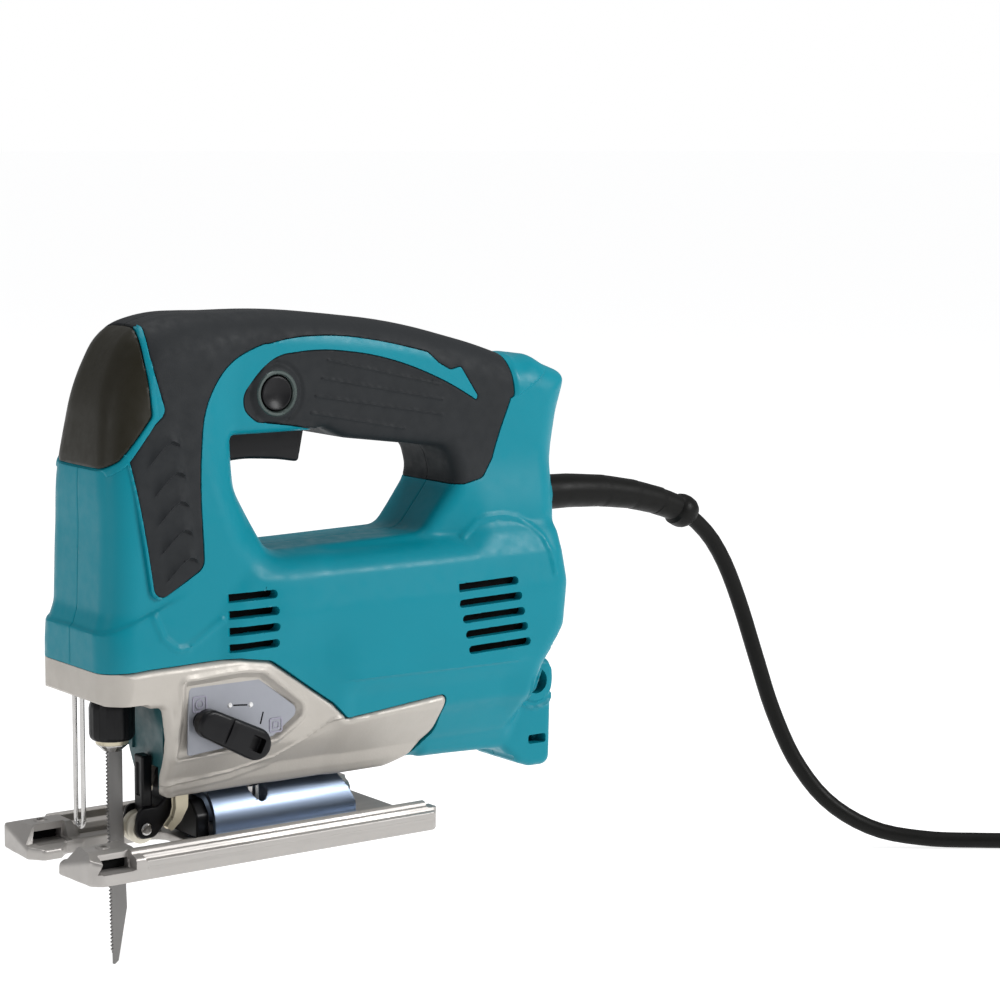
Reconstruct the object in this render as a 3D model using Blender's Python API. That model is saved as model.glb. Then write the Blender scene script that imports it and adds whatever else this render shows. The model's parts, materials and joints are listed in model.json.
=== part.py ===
"""Corded top-handle jigsaw, modelled as an assembly of separate pieces.

Outlines are side views in millimetres: station is measured back from the front edge of the
shoe, height up from its sole.  The frame has +X from the nose to the cord end, +Z up, and its
origin on the sole under the tilting bracket.
"""
import math

import bmesh
import bpy
from mathutils import Matrix, Vector

MM = 0.001
GAP = 0.3                     # clearance between neighbouring pieces
DATUM = 77.0                  # station of the frame's origin

# ---- driving dimensions -------------------------------------------------------------------
SHOE_LENGTH = 155.0
SHOE_HALF = 38.5
SHOE_PLATE = 3.0
RAIL_HEIGHT = 11.3
RAIL_WIDTH = 11.0
HANDLE_HALF = 20.0
NOSE_HALF = 28.5
MOTOR_HALF = 33.0
SKIN = 2.4                    # thickness of the soft overmould
WALL = 2.8
TILT_HEIGHT = 9.0             # axis that the shoe tilts about
BRACKET_RADIUS = 14.6
MOTOR_HEIGHT = 70.0           # axis of the motor
GEAR_HEIGHT = 97.0            # axis of the crank gear
CRANK = 11.5                  # half of the 23 mm stroke
ROD_STATION = 29.5
BLADE_TIP = -43.0
ROLLER_STATION = 40.6
ROLLER_HEIGHT = 9.8
ROLLER_RADIUS = 6.3
BOLT_STATION = 88.0
FORK_PIVOT = (55.0, 27.5)
GUARD_STATION = 15.4
LEVER_PIVOT = (52.0, 54.5)
TRIGGER_PIVOT = (109.0, 157.0)
LOCK_CENTRE = (91.0, 175.5)
CORD_HEIGHT = 125.0
CORD_DIAMETER = 7.0
FLOOR = -43.3                 # what the blade tip and the cord reach down to

# ---- outlines: station, height, corner radius ----------------------------------------------
LOOP = ((18, 100, 0), (225, 100, 0), (227.5, 140, 5), (231, 160, 8), (236, 176, 3), (216, 183.5, 4),
        (209, 183, 4), (190, 189, 30), (150, 200.5, 60), (100, 206.0, 60), (45, 206.5, 14),
        (25, 203, 9), (20.5, 178, 20), (17.5, 150, 20))
NOSE = ((12.5, 62, 0), (111, 62, 0), (111, 112, 6), (86, 114, 6), (76, 124, 8), (70, 150, 8),
        (64, 176, 8), (40, 192, 8), (22, 184, 8), (17.5, 150, 20), (16, 96, 3), (13.5, 90, 2))
MOTOR = ((62, 24.5, 0), (205, 24.5, 3), (214, 58, 3), (224, 74, 5), (226, 93, 8), (224, 118, 9),
         (188, 121, 9), (176, 113.5, 8), (74, 113.5, 6), (62, 100, 0))
WINDOW = ((88, 114.5, 9), (160, 116, 9), (176, 136, 10), (172, 149, 6), (124, 155.5, 12),
          (114, 160, 3), (72, 160, 2), (73, 140, 12))
LOBE = ((160, 24.5, 0), (202, 22.5, 3), (210.5, 14.8, 4), (217, 12.6, 5), (227, 12.4, 4), (228, 58, 5), (160, 60, 0))
GRIP = ((33, 101, 3), (52, 113, 4), (53.5, 142, 4), (56, 170, 5), (75, 178, 4), (95, 164, 2),
        (120, 150, 2), (168, 142, 0), (166, 135.7, 0), (178, 134.9, 4), (191, 141.7, 4),
        (196, 155, 4), (202, 174, 4), (199, 186, 0), (200, 216, 0), (30, 216, 0), (42, 171, 4),
        (25, 157, 0))
BUMPER = ((3, 149, 0), (16, 149, 0), (24.2, 156.0, 0), (41.2, 171, 4), (29.2, 216, 0), (3, 216, 0))
CASTING = ((12.5, 65, 2), (17, 61.5, 2), (36.5, 61.5, 3), (36.5, 22.0, 3), (146, 22.0, 4), (154, 30, 6),
           (160, 40, 6), (162, 51.5, 2), (117.5, 47.5, 2), (110.5, 54.5, 3), (82, 74.5, 4),
           (68, 76.8, 4), (30, 76.8, 0), (12.5, 78.5, 0))
TRIGGER = ((72.5, 149, 2.5), (80, 147.0, 4), (100, 148.5, 4), (109, 152, 3), (113, 156.5, 3),
           (111, 161.5, 3), (75, 165, 2))

COLOURS = {
    "teal": ((0.0, 0.23, 0.26), 0.35, 0.0), "rubber": ((0.02, 0.02, 0.022), 0.65, 0.0),
    "dark_gloss": ((0.02, 0.012, 0.01), 0.25, 0.0), "black": ((0.015, 0.015, 0.015), 0.4, 0.0),
    "casting": ((0.52, 0.49, 0.45), 0.42, 0.9), "aluminium": ((0.6, 0.58, 0.56), 0.35, 0.95),
    "zinc": ((0.48, 0.55, 0.68), 0.3, 1.0), "steel": ((0.45, 0.45, 0.45), 0.3, 1.0),
    "blade": ((0.28, 0.27, 0.27), 0.45, 0.9), "copper": ((0.55, 0.2, 0.08), 0.35, 1.0),
    "brass": ((0.6, 0.42, 0.12), 0.35, 1.0), "dark_teal": ((0.02, 0.08, 0.08), 0.5, 0.0),
    "laminate": ((0.2, 0.2, 0.21), 0.5, 0.8), "carbon": ((0.03, 0.03, 0.03), 0.7, 0.0),
}


# ---- tools ---------------------------------------------------------------------------------
def clear_scene():
    for item in list(bpy.data.objects):
        bpy.data.objects.remove(item, do_unlink=True)


def material(name):
    found = bpy.data.materials.get(name)
    if found:
        return found
    made = bpy.data.materials.new(name)
    made.use_nodes = True
    shader = made.node_tree.nodes["Principled BSDF"]
    colour, roughness, metallic = COLOURS[name]
    shader.inputs["Base Color"].default_value = (*colour, 1.0)
    shader.inputs["Roughness"].default_value = roughness
    shader.inputs["Metallic"].default_value = metallic
    return made


def place(a, b, depth, plane):
    """World point of a drawn point (a, b) lifted by depth from its drawing plane."""
    if plane == "side":
        return Vector((a - DATUM, depth, b)) * MM
    if plane == "plan":
        return Vector((a - DATUM, b, depth)) * MM
    return Vector((depth - DATUM, a, b)) * MM


def fillet(corners, inward=0.0, steps=2):
    """Outline moved inwards by a distance, with each corner (a, b, radius) turned into an arc."""
    moved = inset([Vector(corner[:2]) for corner in corners], inward)
    points = []
    count = len(corners)
    for index, corner in enumerate(moved):
        radius = corners[index][2]
        to_before = moved[index - 1] - corner
        to_after = moved[(index + 1) % count] - corner
        half = to_before.angle(to_after) / 2
        if radius <= 0 or math.pi / 2 - half < 0.03:
            points.append(corner)
            continue
        convex = to_before.x * to_after.y - to_before.y * to_after.x < 0
        room = 0.48 * min(to_before.length, to_after.length)
        radius = min(max(radius - inward if convex else radius + inward, 0.2), room * math.tan(half))
        reach = radius / math.tan(half)
        before, after = to_before.normalized(), to_after.normalized()
        centre = corner + (before + after).normalized() * (radius / math.sin(half))
        start = corner + before * reach - centre
        end = corner + after * reach - centre
        for step in range(steps + 1):
            blend = start.lerp(end, step / steps)
            points.append(centre + blend.normalized() * radius)
    return points


def inset(points, distance):
    """Outline moved inwards; the points run counter-clockwise."""
    moved = []
    count = len(points)
    for index, point in enumerate(points):
        before = (point - points[index - 1]).normalized()
        after = (points[(index + 1) % count] - point).normalized()
        normal_a = Vector((-before.y, before.x))
        normal_b = Vector((-after.y, after.x))
        middle = (normal_a + normal_b).normalized()
        moved.append(point + middle * (distance / max(0.35, middle.dot(normal_a))))
    return moved


def finish_mesh(name, build, colour):
    bmesh.ops.recalc_face_normals(build, faces=build.faces)
    bmesh.ops.triangulate(build, faces=[face for face in build.faces if len(face.verts) > 4])
    mesh = bpy.data.meshes.new(name)
    build.to_mesh(mesh)
    build.free()
    mesh.materials.append(material(colour))
    made = bpy.data.objects.new(name, mesh)
    bpy.context.scene.collection.objects.link(made)
    return made


def layered(name, rings, plane, colour):
    """Closed solid through rings, each a list of points at one depth."""
    build = bmesh.new()
    loops = [[build.verts.new(place(p.x, p.y, depth, plane)) for p in ring] for depth, ring in rings]
    for lower, upper in zip(loops, loops[1:]):
        for index in range(len(lower)):
            build.faces.new((lower[index - 1], lower[index], upper[index], upper[index - 1]))
    build.faces.new(loops[0])
    build.faces.new(loops[-1])
    return finish_mesh(name, build, colour)


def slab(name, corners, low, high, colour="teal", plane="side", edge=0.0, rise=0.0, steps=2):
    """Outline extruded from low to high, with its long edges eased by edge over rise."""
    outline = fillet(corners, 0.0, steps)
    rise = rise or edge
    if not edge:
        return layered(name, [(low, outline), (high, outline)], plane, colour)
    waist = 0.3
    shoulder = fillet(corners, edge * waist, steps)
    face = fillet(corners, edge, steps)
    rings = [(low, face), (low + rise * waist, shoulder), (low + rise, outline),
             (high - rise, outline), (high - rise * waist, shoulder), (high, face)]
    return layered(name, rings, plane, colour)


def box(name, low, high, colour="black", edge=0.0):
    corners = ((low[0], low[1], 0), (high[0], low[1], 0), (high[0], high[1], 0), (low[0], high[1], 0))
    return slab(name, corners, low[2], high[2], colour, "plan", edge)


def turned(name, profile, centre, axis, colour="steel", sides=18, phase=0.0):
    """Solid of revolution: profile is (radius, distance along the axis) from end to end."""
    along = {"x": Vector((1, 0, 0)), "y": Vector((0, 1, 0)), "z": Vector((0, 0, 1))}[axis]
    across = {"x": Vector((0, 1, 0)), "y": Vector((0, 0, 1)), "z": Vector((1, 0, 0))}[axis]
    third = along.cross(across)
    origin = Vector((centre[0] - DATUM, centre[1], centre[2]))
    build = bmesh.new()
    loops = []
    for radius, distance in profile:
        ring = []
        for side in range(sides):
            angle = phase + 2 * math.pi * side / sides
            spoke = across * math.cos(angle) + third * math.sin(angle)
            ring.append(build.verts.new((origin + along * distance + spoke * radius) * MM))
        loops.append(ring)
    for lower, upper in zip(loops, loops[1:]):
        for index in range(sides):
            build.faces.new((lower[index - 1], lower[index], upper[index], upper[index - 1]))
    build.faces.new(loops[0])
    build.faces.new(loops[-1])
    return finish_mesh(name, build, colour)


def rod(name, centre, axis, radius, low, high, colour="steel", sides=18, phase=0.0):
    return turned(name, ((radius, low), (radius, high)), centre, axis, colour, sides, phase)


def ring(name, centre, axis, outer, inner, low, high, colour="steel", sides=18):
    """Tube with a through bore."""
    build = bmesh.new()
    along = {"x": Vector((1, 0, 0)), "y": Vector((0, 1, 0)), "z": Vector((0, 0, 1))}[axis]
    across = {"x": Vector((0, 1, 0)), "y": Vector((0, 0, 1)), "z": Vector((1, 0, 0))}[axis]
    third = along.cross(across)
    origin = Vector((centre[0] - DATUM, centre[1], centre[2]))
    loops = []
    for radius, distance in ((outer, low), (outer, high), (inner, high), (inner, low)):
        loop = []
        for side in range(sides):
            angle = 2 * math.pi * side / sides
            spoke = across * math.cos(angle) + third * math.sin(angle)
            loop.append(build.verts.new((origin + along * distance + spoke * radius) * MM))
        loops.append(loop)
    for first, second in zip(loops, loops[1:] + loops[:1]):
        for index in range(sides):
            build.faces.new((first[index - 1], first[index], second[index], second[index - 1]))
    return finish_mesh(name, build, colour)


def swept(name, stations, colour, sides=14):
    """Solid through circles, each (centre in frame millimetres, radius), square to the path."""
    build = bmesh.new()
    centres = [Vector(centre) for centre, _ in stations]
    loops = []
    for index, (centre, radius) in enumerate(stations):
        ahead = centres[min(index + 1, len(centres) - 1)] - centres[max(index - 1, 0)]
        ahead.normalize()
        side = ahead.cross(Vector((0, 0, 1))).normalized()
        up = side.cross(ahead)
        loop = []
        for step in range(sides):
            angle = 2 * math.pi * step / sides
            loop.append(build.verts.new((Vector(centre) + (side * math.cos(angle)
                                        + up * math.sin(angle)) * radius) * MM))
        loops.append(loop)
    for first, second in zip(loops, loops[1:]):
        for index in range(sides):
            build.faces.new((first[index - 1], first[index], second[index], second[index - 1]))
    build.faces.new(loops[0])
    build.faces.new(loops[-1])
    return finish_mesh(name, build, colour)


def combine(target, operation, *others, keep=False):
    """Boolean of target with each other solid; the others are removed unless kept."""
    for other in others:
        step = target.modifiers.new("step", "BOOLEAN")
        step.operation = operation
        step.object = other
        step.solver = "EXACT"
        graph = bpy.context.evaluated_depsgraph_get()
        fresh = bpy.data.meshes.new_from_object(target.evaluated_get(graph))
        target.modifiers.clear()
        colour = target.data.materials[0]
        target.data = fresh
        fresh.materials.clear()
        fresh.materials.append(colour)
        if not keep:
            bpy.data.objects.remove(other, do_unlink=True)
    return target


def cut(target, *others, keep=False):
    return combine(target, "DIFFERENCE", *others, keep=keep)


def join(target, *others, keep=False):
    return combine(target, "UNION", *others, keep=keep)


def twin(source, name):
    made = source.copy()
    made.data = source.data.copy()
    made.name = name
    bpy.context.scene.collection.objects.link(made)
    return made


# ---- outer shells ----------------------------------------------------------------------------
def envelope(name, depth):
    """The tool's whole outer form, drawn in by depth all round."""
    forms = []
    for outline, half, edge in ((LOOP, HANDLE_HALF, 9.0), (NOSE, NOSE_HALF, 8.0), (MOTOR, MOTOR_HALF, 7.0)):
        rings = []
        easing = edge - depth * 0.4
        for lift, draw in ((0.0, 1.0), (0.3, 0.3), (1.0, 0.0)):
            points = fillet(outline, depth + easing * draw, 1 if depth else 2)
            rings.append((-half + depth + easing * lift, points))
        mirrored = [(-place_y, ring_points) for place_y, ring_points in reversed(rings)]
        forms.append(layered(name, rings + mirrored, "side", "teal"))
    return join(forms[0], *forms[1:])


def window_cutter(name, growth=0.0):
    points = fillet(WINDOW, -growth, 1 if growth else 2)
    half = HANDLE_HALF + 25
    flare = 4.0
    wide, wider = fillet(WINDOW, -flare * 0.8), fillet(WINDOW, -flare)
    rings = [(-half, wider), (-HANDLE_HALF + 1, wide), (-HANDLE_HALF + 7, points),
             (HANDLE_HALF - 7, points), (HANDLE_HALF - 1, wide), (half, wider)]
    if growth:
        rings = [(-half, points), (half, points)]
    return layered(name, rings, "side", "teal")


def region(name, outline, growth=0.0):
    points = fillet(outline, -growth)
    return layered(name, [(-60, points), (60, points)], "side", "rubber")


def lower_wedges(end):
    """Two wedges that take the lower corners off the hull, so that the shoe can tilt."""
    wedges = []
    for side in (-1, 1):
        corners = [(side * 10.5, 15.0), (side * 50.0, 15.0), (side * 50.0, 64.2), (side * 30.2, 44.3),
                   (side * 11.0, 24.8)]
        ordered = corners if side > 0 else corners[::-1]
        points = [Vector(corner) for corner in ordered]
        wedges.append(layered("wedge", [(5.0, points), (end, points)], "front", "casting"))
    return wedges


def vents(name, rows, start, length, height, lean):
    """Row of slanted through slots, as one cutter each."""
    slots = []
    for row in range(rows):
        level = height - row * 6.35
        shift = row * lean
        corners = ((start + shift, level - 1.4, 1.3), (start + shift + length, level - 1.4, 1.3),
                   (start + shift + length, level + 1.4, 1.3), (start + shift, level + 1.4, 1.3))
        slots.append(slab(name, corners, -60, 60, steps=1))
    return slots


def make_housing():
    skin_gap = SKIN + GAP
    shell = envelope("shell", 0.0)
    cut(shell, region("cut", GRIP, GAP), region("cut", BUMPER, GAP))
    shell = join(shell, envelope("core", skin_gap))
    join(shell, slab("lobe", LOBE, -16, 16, edge=4))
    cut(shell, window_cutter("window"))
    inner = envelope("inner", SKIN + WALL)
    cut(inner, window_cutter("guard", WALL + 0.4))
    cut(inner, box("keep", (12, -40, 20), (40, 40, 66)))
    join(inner, slab("bay", ((66, 66, 0), (210, 32, 0), (214, 60, 0), (218, 75, 3), (218, 108, 6),
                             (66, 108, 0)), -MOTOR_HALF + WALL, MOTOR_HALF - WALL, edge=5))
    cut(shell, inner)
    seam = fillet(CASTING, -GAP)
    cut(shell, layered("seam", [(-60, seam), (60, seam)], "side", "teal"))
    cut(shell, box("below", (0, -60, -10), (60, 60, 70)), *lower_wedges(157.0))
    trigger_bay = box("bay", (71.5, -8, 140), (113.5, 8, 185))
    cut(shell, trigger_bay)
    cut(shell, *vents("slot", 4, 63, 20.5, 100.4, 0.3), *vents("slot", 5, 168.5, 29.5, 95.2, 1.4))
    cut(shell, rod("exit", (0, 0, CORD_HEIGHT), "x", 8.2, 215, 245))
    cut(shell, rod("lock", (LOCK_CENTRE[0], 0, LOCK_CENTRE[1]), "y", 7.4, -30, 0))
    halves = []
    for name, side in (("housing_left", -1), ("housing_right", 1)):
        half = twin(shell, name)
        low, high = (-60, -GAP / 2) if side < 0 else (GAP / 2, 60)
        combine(half, "INTERSECT", box("halve", (-20, low, -10), (260, high, 230)))
        halves.append(half)
    bpy.data.objects.remove(shell, do_unlink=True)
    return halves


def make_skins():
    """Soft grips, one on each clamshell, and the hard cap on the front corner."""
    outer = envelope("outer", 0.0)
    cut(outer, envelope("core", SKIN))
    cut(outer, window_cutter("window"))
    cut(outer, box("bay", (70, -9, 140), (114, 9, 185)))
    bumper = twin(outer, "nose_bumper")
    bumper.data.materials[0] = material("dark_gloss")
    combine(bumper, "INTERSECT", region("keep", BUMPER))
    combine(outer, "INTERSECT", region("keep", GRIP))
    cut(outer, region("cap", BUMPER, GAP))
    cut(outer, rod("lock", (LOCK_CENTRE[0], 0, LOCK_CENTRE[1]), "y", 7.6, -30, 0))
    for name, low, high in (("grip_left", -60, -GAP / 2), ("grip_right", GAP / 2, 60)):
        half = twin(outer, name)
        half.data.materials[0] = material("rubber")
        combine(half, "INTERSECT", box("halve", (-20, low, -10), (260, high, 230)))
    bpy.data.objects.remove(outer, do_unlink=True)


def make_casting():
    """Cast gear housing: hollow block with the nose in front and a lever recess on the left."""
    block = slab("gear_housing", CASTING, -30, 30, "casting", edge=4, rise=5)
    cut(block, *lower_wedges(170.0))
    cut(block, box("well", (56.5, -24, 40), (152, 24, 90)))
    cut(block, box("nose_well", (18, -24, 66), (60, 24, 90)))
    cut(block, box("front_pocket", (30, -24, 15), (47, 24, 61.5)))
    cut(block, box("fork_slot", (30, -6.6, 15), (61, 6.6, 33.5)))
    cut(block, rod("motor_seat", (0, 0, MOTOR_HEIGHT), "x", 29.0, 140, 180, sides=32))
    cut(block, rod("pivot_bore", (FORK_PIVOT[0], 0, FORK_PIVOT[1]), "y", 1.9, -11.4, 11.4, sides=16))
    cut(block, rod("bolt_bore", (BOLT_STATION, 0, 0), "z", 3.3, 15, 35.0, sides=16))
    for side in (-3.0, 3.0):
        cut(block, rod("wire_bore", (GUARD_STATION, side, 0), "z", 1.25, 50, 73, sides=12))
    cut(block, rod("rod_hole", (ROD_STATION, 0, 0), "z", 9.6, 50, 80))
    cut(block, rod("saddle", (0, 0, TILT_HEIGHT), "x", BRACKET_RADIUS + GAP, 40, 170, sides=48))
    recess = ((43, 40, 1), (85, 44, 2), (98, 54, 2), (77, 70, 3), (44, 70, 1))
    cut(block, slab("recess", recess, -40, -28, "casting"))
    cut(block, rod("cam_bore", (LEVER_PIVOT[0], 0, LEVER_PIVOT[1]), "y", 3.9, -40, 22.4))
    return block


# ---- controls --------------------------------------------------------------------------------
def make_trigger():
    return slab("trigger", TRIGGER, -7.2, 7.2, "black", edge=1.6)


def make_lock_button():
    profile = ((6.9, 0), (6.9, 4.6), (5.6, 6.0), (2.5, 6.6))
    button = turned("lock_button", tuple((r, -d) for r, d in profile),
                    (LOCK_CENTRE[0], -14.0, LOCK_CENTRE[1]), "y", "black")
    stem = rod("stem", (LOCK_CENTRE[0], 0, LOCK_CENTRE[1]), "y", 3.0, -14.5, -11.0, "black")
    return join(button, stem)


def make_lever():
    """Selector on the side of the casting: a hub and an arm that slants down to the rear."""
    x, z = LEVER_PIVOT
    slope = math.radians(-27)
    along = Vector((math.cos(slope), math.sin(slope)))
    across = Vector((-along.y, along.x))
    half = 6.2
    outline = []
    for end, turn in ((Vector((x, z)), math.pi / 2), (Vector((x, z)) + along * 21, -math.pi / 2)):
        for step in range(7):
            angle = turn + math.pi * step / 6
            outline.append(end + (along * math.cos(angle) + across * math.sin(angle)) * half)
    arm = layered("orbital_lever", [(-39.0, inset(outline, 1.2)), (-37.8, outline), (-31.0, outline)],
                  "side", "black")
    join(arm, rod("hub", (x, 0, z), "y", 3.6, -31.5, -22.0, "black"))
    tip = Vector((x, z)) + along * 21
    socket = box("socket", (tip.x - 2.6, -42, tip.y - 2.6), (tip.x + 2.6, -35.6, tip.y + 2.6))
    return cut(arm, socket)


# ---- blade end -------------------------------------------------------------------------------
def make_blade():
    """Tapered wood blade: teeth point forwards and the back runs in to the tip."""
    pitch = 2.5
    back = 33.9
    corners = [Vector((back, 50)), Vector((27.5, 50)), Vector((27.0, 44))]
    level = 40.0
    while level > BLADE_TIP + 6:
        root = 27.3 + 0.02 * max(0.0, 20 - level)
        corners.append(Vector((root, level)))
        corners.append(Vector((root - 1.1, level + pitch * 0.15)))
        level -= pitch
    corners.append(Vector((27.8, BLADE_TIP + 3)))
    corners.append(Vector((28.7, BLADE_TIP)))
    corners.append(Vector((30.6, BLADE_TIP + 1)))
    corners.append(Vector((35.0, -20)))
    corners.append(Vector((back, 18)))
    return layered("saw_blade", [(-0.6, corners), (0.6, corners)], "side", "blade")


def make_clamp():
    x = ROD_STATION
    sleeve = turned("clamp_sleeve", ((8.0, 45.5), (8.8, 46.5), (8.8, 58.0), (7.6, 60.9)),
                    (x, 0, 0), "z", "black")
    cut(sleeve, rod("bore", (x, 0, 0), "z", 6.4, 40, 70))
    collet = turned("clamp_collet", ((3.4, 41.0), (6.0, 43.4), (6.0, 60.5)), (x, 0, 0), "z", "steel")
    slot = box("slot", (26.5, -0.9, 36), (36, 0.9, 51))
    return sleeve, cut(collet, slot)


def make_plunger():
    """Reciprocating rod with the slotted yoke that the crank pin works in."""
    x = ROD_STATION
    pin = GEAR_HEIGHT - CRANK
    shaft = rod("plunger_rod", (x, 0, 0), "z", 4.6, 60.9, 131)
    web = box("web", (x, -4, pin + 5), (44.5, 4, pin + 9.5), "steel")
    yoke = box("yoke", (42, -19, pin - 6.5), (48, 19, pin + 9.5), "steel")
    join(shaft, web)
    join(shaft, yoke)
    return cut(shaft, box("slot", (41, -15.5, pin - 3.4), (49, 15.5, pin + 3.4)))


def make_rod_guide():
    """Frame behind the nose wall with a bush below and above the yoke's travel."""
    x = ROD_STATION
    frame = box("guide_holder", (23.2, -12, 84.4), (37, 12, 127.0), "steel")
    cut(frame, box("inside", (15, -10, 89.6), (50, 10, 119.4)))
    cut(frame, rod("bore", (x, 0, 0), "z", 6.1, 80, 130))
    for name, low, high in (("lower_bush", 84.4, 89.4), ("upper_bush", 119.6, 127.0)):
        ring(name, (x, 0, 0), "z", 5.8, 4.9, low, high, "brass")


def make_roller():
    x, z = ROLLER_STATION, ROLLER_HEIGHT
    roller = turned("guide_roller", ((5.2, -3.6), (ROLLER_RADIUS, -2.8), (ROLLER_RADIUS, -0.95),
                                     (5.3, -0.9), (5.3, 0.9), (ROLLER_RADIUS, 0.95),
                                     (ROLLER_RADIUS, 2.8), (5.2, 3.6)), (x, 0, z), "y", "steel", 28)
    cut(roller, rod("bore", (x, 0, z), "y", 2.6, -9, 9))
    turned("roller_pin", ((2.0, -6.6), (2.3, -6.2), (2.3, 6.2), (2.0, 6.6)), (x, 0, z), "y", "steel", 16)
    px, pz = FORK_PIVOT
    cheek = ((x - 4.4, z - 3.9, 3.4), (x + 4.3, z - 3.9, 3.4), (px + 3, pz - 7, 3), (px + 3, pz + 3.6, 3),
             (x + 3.2, pz + 3.6, 2), (x + 3.2, 38.9, 1), (x - 4.4, 38.9, 1))
    fork = slab("roller_fork", cheek, -5.8, 5.8, "black", steps=2)
    outline = ((x - 9, z - 9, 0), (x + 8.7, z - 9, 0), (x + 8.7, z + 7.9, 4), (x - 9, z + 7.9, 4))
    cut(fork, slab("gap", outline, -4.0, 4.0))
    cut(fork, rod("pin_hole", (x, 0, z), "y", 2.6, -9, 9, sides=16))
    cut(fork, rod("pivot_hole", (px, 0, pz), "y", 1.9, -9, 9, sides=16))
    rod("fork_pin", (px, 0, pz), "y", 1.6, -11, 11, "steel", 16)


def make_wire_guard():
    """Bent steel wire that hangs in front of the blade."""
    x, half, bottom, top = GUARD_STATION, 3.0, 13.5, 72.5
    stations = []
    radius = 0.9
    for height in (top, 60.0, 40.0, bottom + half):
        stations.append(((x - DATUM, -half, height), radius))
    for step in range(1, 6):
        angle = math.pi * step / 6
        stations.append(((x - DATUM, -half * math.cos(angle), bottom + half - half * math.sin(angle)), radius))
    for height in (bottom + half, 40.0, 60.0, top):
        stations.append(((x - DATUM, half, height), radius))
    build = bmesh.new()
    loops = []
    for index, (centre, size) in enumerate(stations):
        before = Vector(stations[max(index - 1, 0)][0])
        after = Vector(stations[min(index + 1, len(stations) - 1)][0])
        ahead = (after - before).normalized()
        side = Vector((1, 0, 0))
        up = ahead.cross(side)
        loop = []
        for step in range(8):
            angle = 2 * math.pi * step / 8
            loop.append(build.verts.new((Vector(centre) + (side * math.cos(angle)
                                        + up * math.sin(angle)) * size) * MM))
        loops.append(loop)
    for first, second in zip(loops, loops[1:]):
        for index in range(8):
            build.faces.new((first[index - 1], first[index], second[index], second[index - 1]))
    build.faces.new(loops[0])
    build.faces.new(loops[-1])
    return finish_mesh("wire_guard", build, "steel")


def make_inner_guard():
    """Splash guard that closes the pocket behind the blade and the fork."""
    plate = slab("inner_guard", ((-23.2, 44, 0), (23.2, 44, 0), (23.2, 61, 0), (-23.2, 61, 0)),
                 45.0, 46.6, "dark_teal", "front")
    return plate


# ---- shoe ------------------------------------------------------------------------------------
def make_shoe():
    half, rail = SHOE_HALF, SHOE_HALF - RAIL_WIDTH
    plan = ((0, -half + 4, 0), (4, -half, 0), (SHOE_LENGTH - 4, -half, 0), (SHOE_LENGTH, -half + 4, 0),
            (SHOE_LENGTH, half - 4, 0), (SHOE_LENGTH - 4, half, 0), (4, half, 0), (0, half - 4, 0))
    shoe = slab("shoe", plan, 0, SHOE_PLATE, "aluminium", "plan")
    for side in (-1, 1):
        corners = [(side * rail, 1.0), (side * half, 1.0), (side * half, 8.0),
                   (side * (half - 3), RAIL_HEIGHT), (side * (rail + 2.5), RAIL_HEIGHT), (side * rail, 8.5)]
        points = [Vector(corner) for corner in (corners if side > 0 else corners[::-1])]
        rings = [(0.6, inset(points, 0.6)), (4.0, points), (SHOE_LENGTH - 0.4, points)]
        join(shoe, layered("rail", rings, "front", "aluminium"))
        inner = side * 17.0
        block = ((3.5, min(inner, side * (rail + 1)), 0), (19.5, min(inner, side * (rail + 1)), 0),
                 (19.5, max(inner, side * (rail + 1)), 0), (3.5, max(inner, side * (rail + 1)), 0))
        join(shoe, slab("leg", block, 1.0, 10.6, "aluminium", "plan", rise=3))
    mouth = ((-5, -17.6, 0), (4.4, -7.6, 2), (11.7, -7.6, 2), (16, -12, 2), (57, -12, 6), (57, 12, 6), (16, 12, 2),
             (11.7, 7.6, 2), (4.4, 7.6, 2), (-5, 17.6, 0))
    cut(shoe, slab("mouth", mouth, -5, 20, "aluminium", "plan"))
    for side in (-1, 1):
        low, high = sorted((side * 24.0, side * 34.0))
        cut(shoe, box("pocket", (6, low, 8.6), (16, high, 20)))
        low, high = sorted((side * 14.0, side * 40.0))
        cut(shoe, box("guide_slot", (4.8, low, 4.4), (15.0, high, 7.6)))
    cut(shoe, rod("key_hole", (BOLT_STATION, 0, 0), "z", 6.0, -5, 8))
    return shoe


def make_bracket():
    """Half-round bracket on the shoe, slotted along its arc for the clamping bolt."""
    centre = (0, 0, TILT_HEIGHT)
    low, high = 66.0, 130.0
    bracket = rod("bevel_bracket", centre, "x", BRACKET_RADIUS, low, high, "zinc", 48)
    cut(bracket, box("lower", (40, -30, -20), (170, 30, TILT_HEIGHT)))
    legs = box("legs", (low, -BRACKET_RADIUS + 0.1, SHOE_PLATE + GAP), (high, BRACKET_RADIUS - 0.1, 9.5), "zinc")
    join(bracket, legs)
    cut(bracket, rod("bore", centre, "x", BRACKET_RADIUS - 2.2, low - 9, high + 9, sides=48))
    cut(bracket, box("below", (50, -BRACKET_RADIUS + 2.2, -5), (150, BRACKET_RADIUS - 2.2, TILT_HEIGHT)))
    for side in (-1, 1):
        inner, outer = side * (BRACKET_RADIUS - 1.5), side * 25.0
        foot = box("foot", (low, min(inner, outer), SHOE_PLATE + GAP), (high + 8, max(inner, outer), 5.2), "zinc")
        join(bracket, foot)
    cut(bracket, box("slot", (BOLT_STATION - 4.6, -12.2, 15.0), (BOLT_STATION + 4.6, 12.2, 40)))
    return bracket


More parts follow.
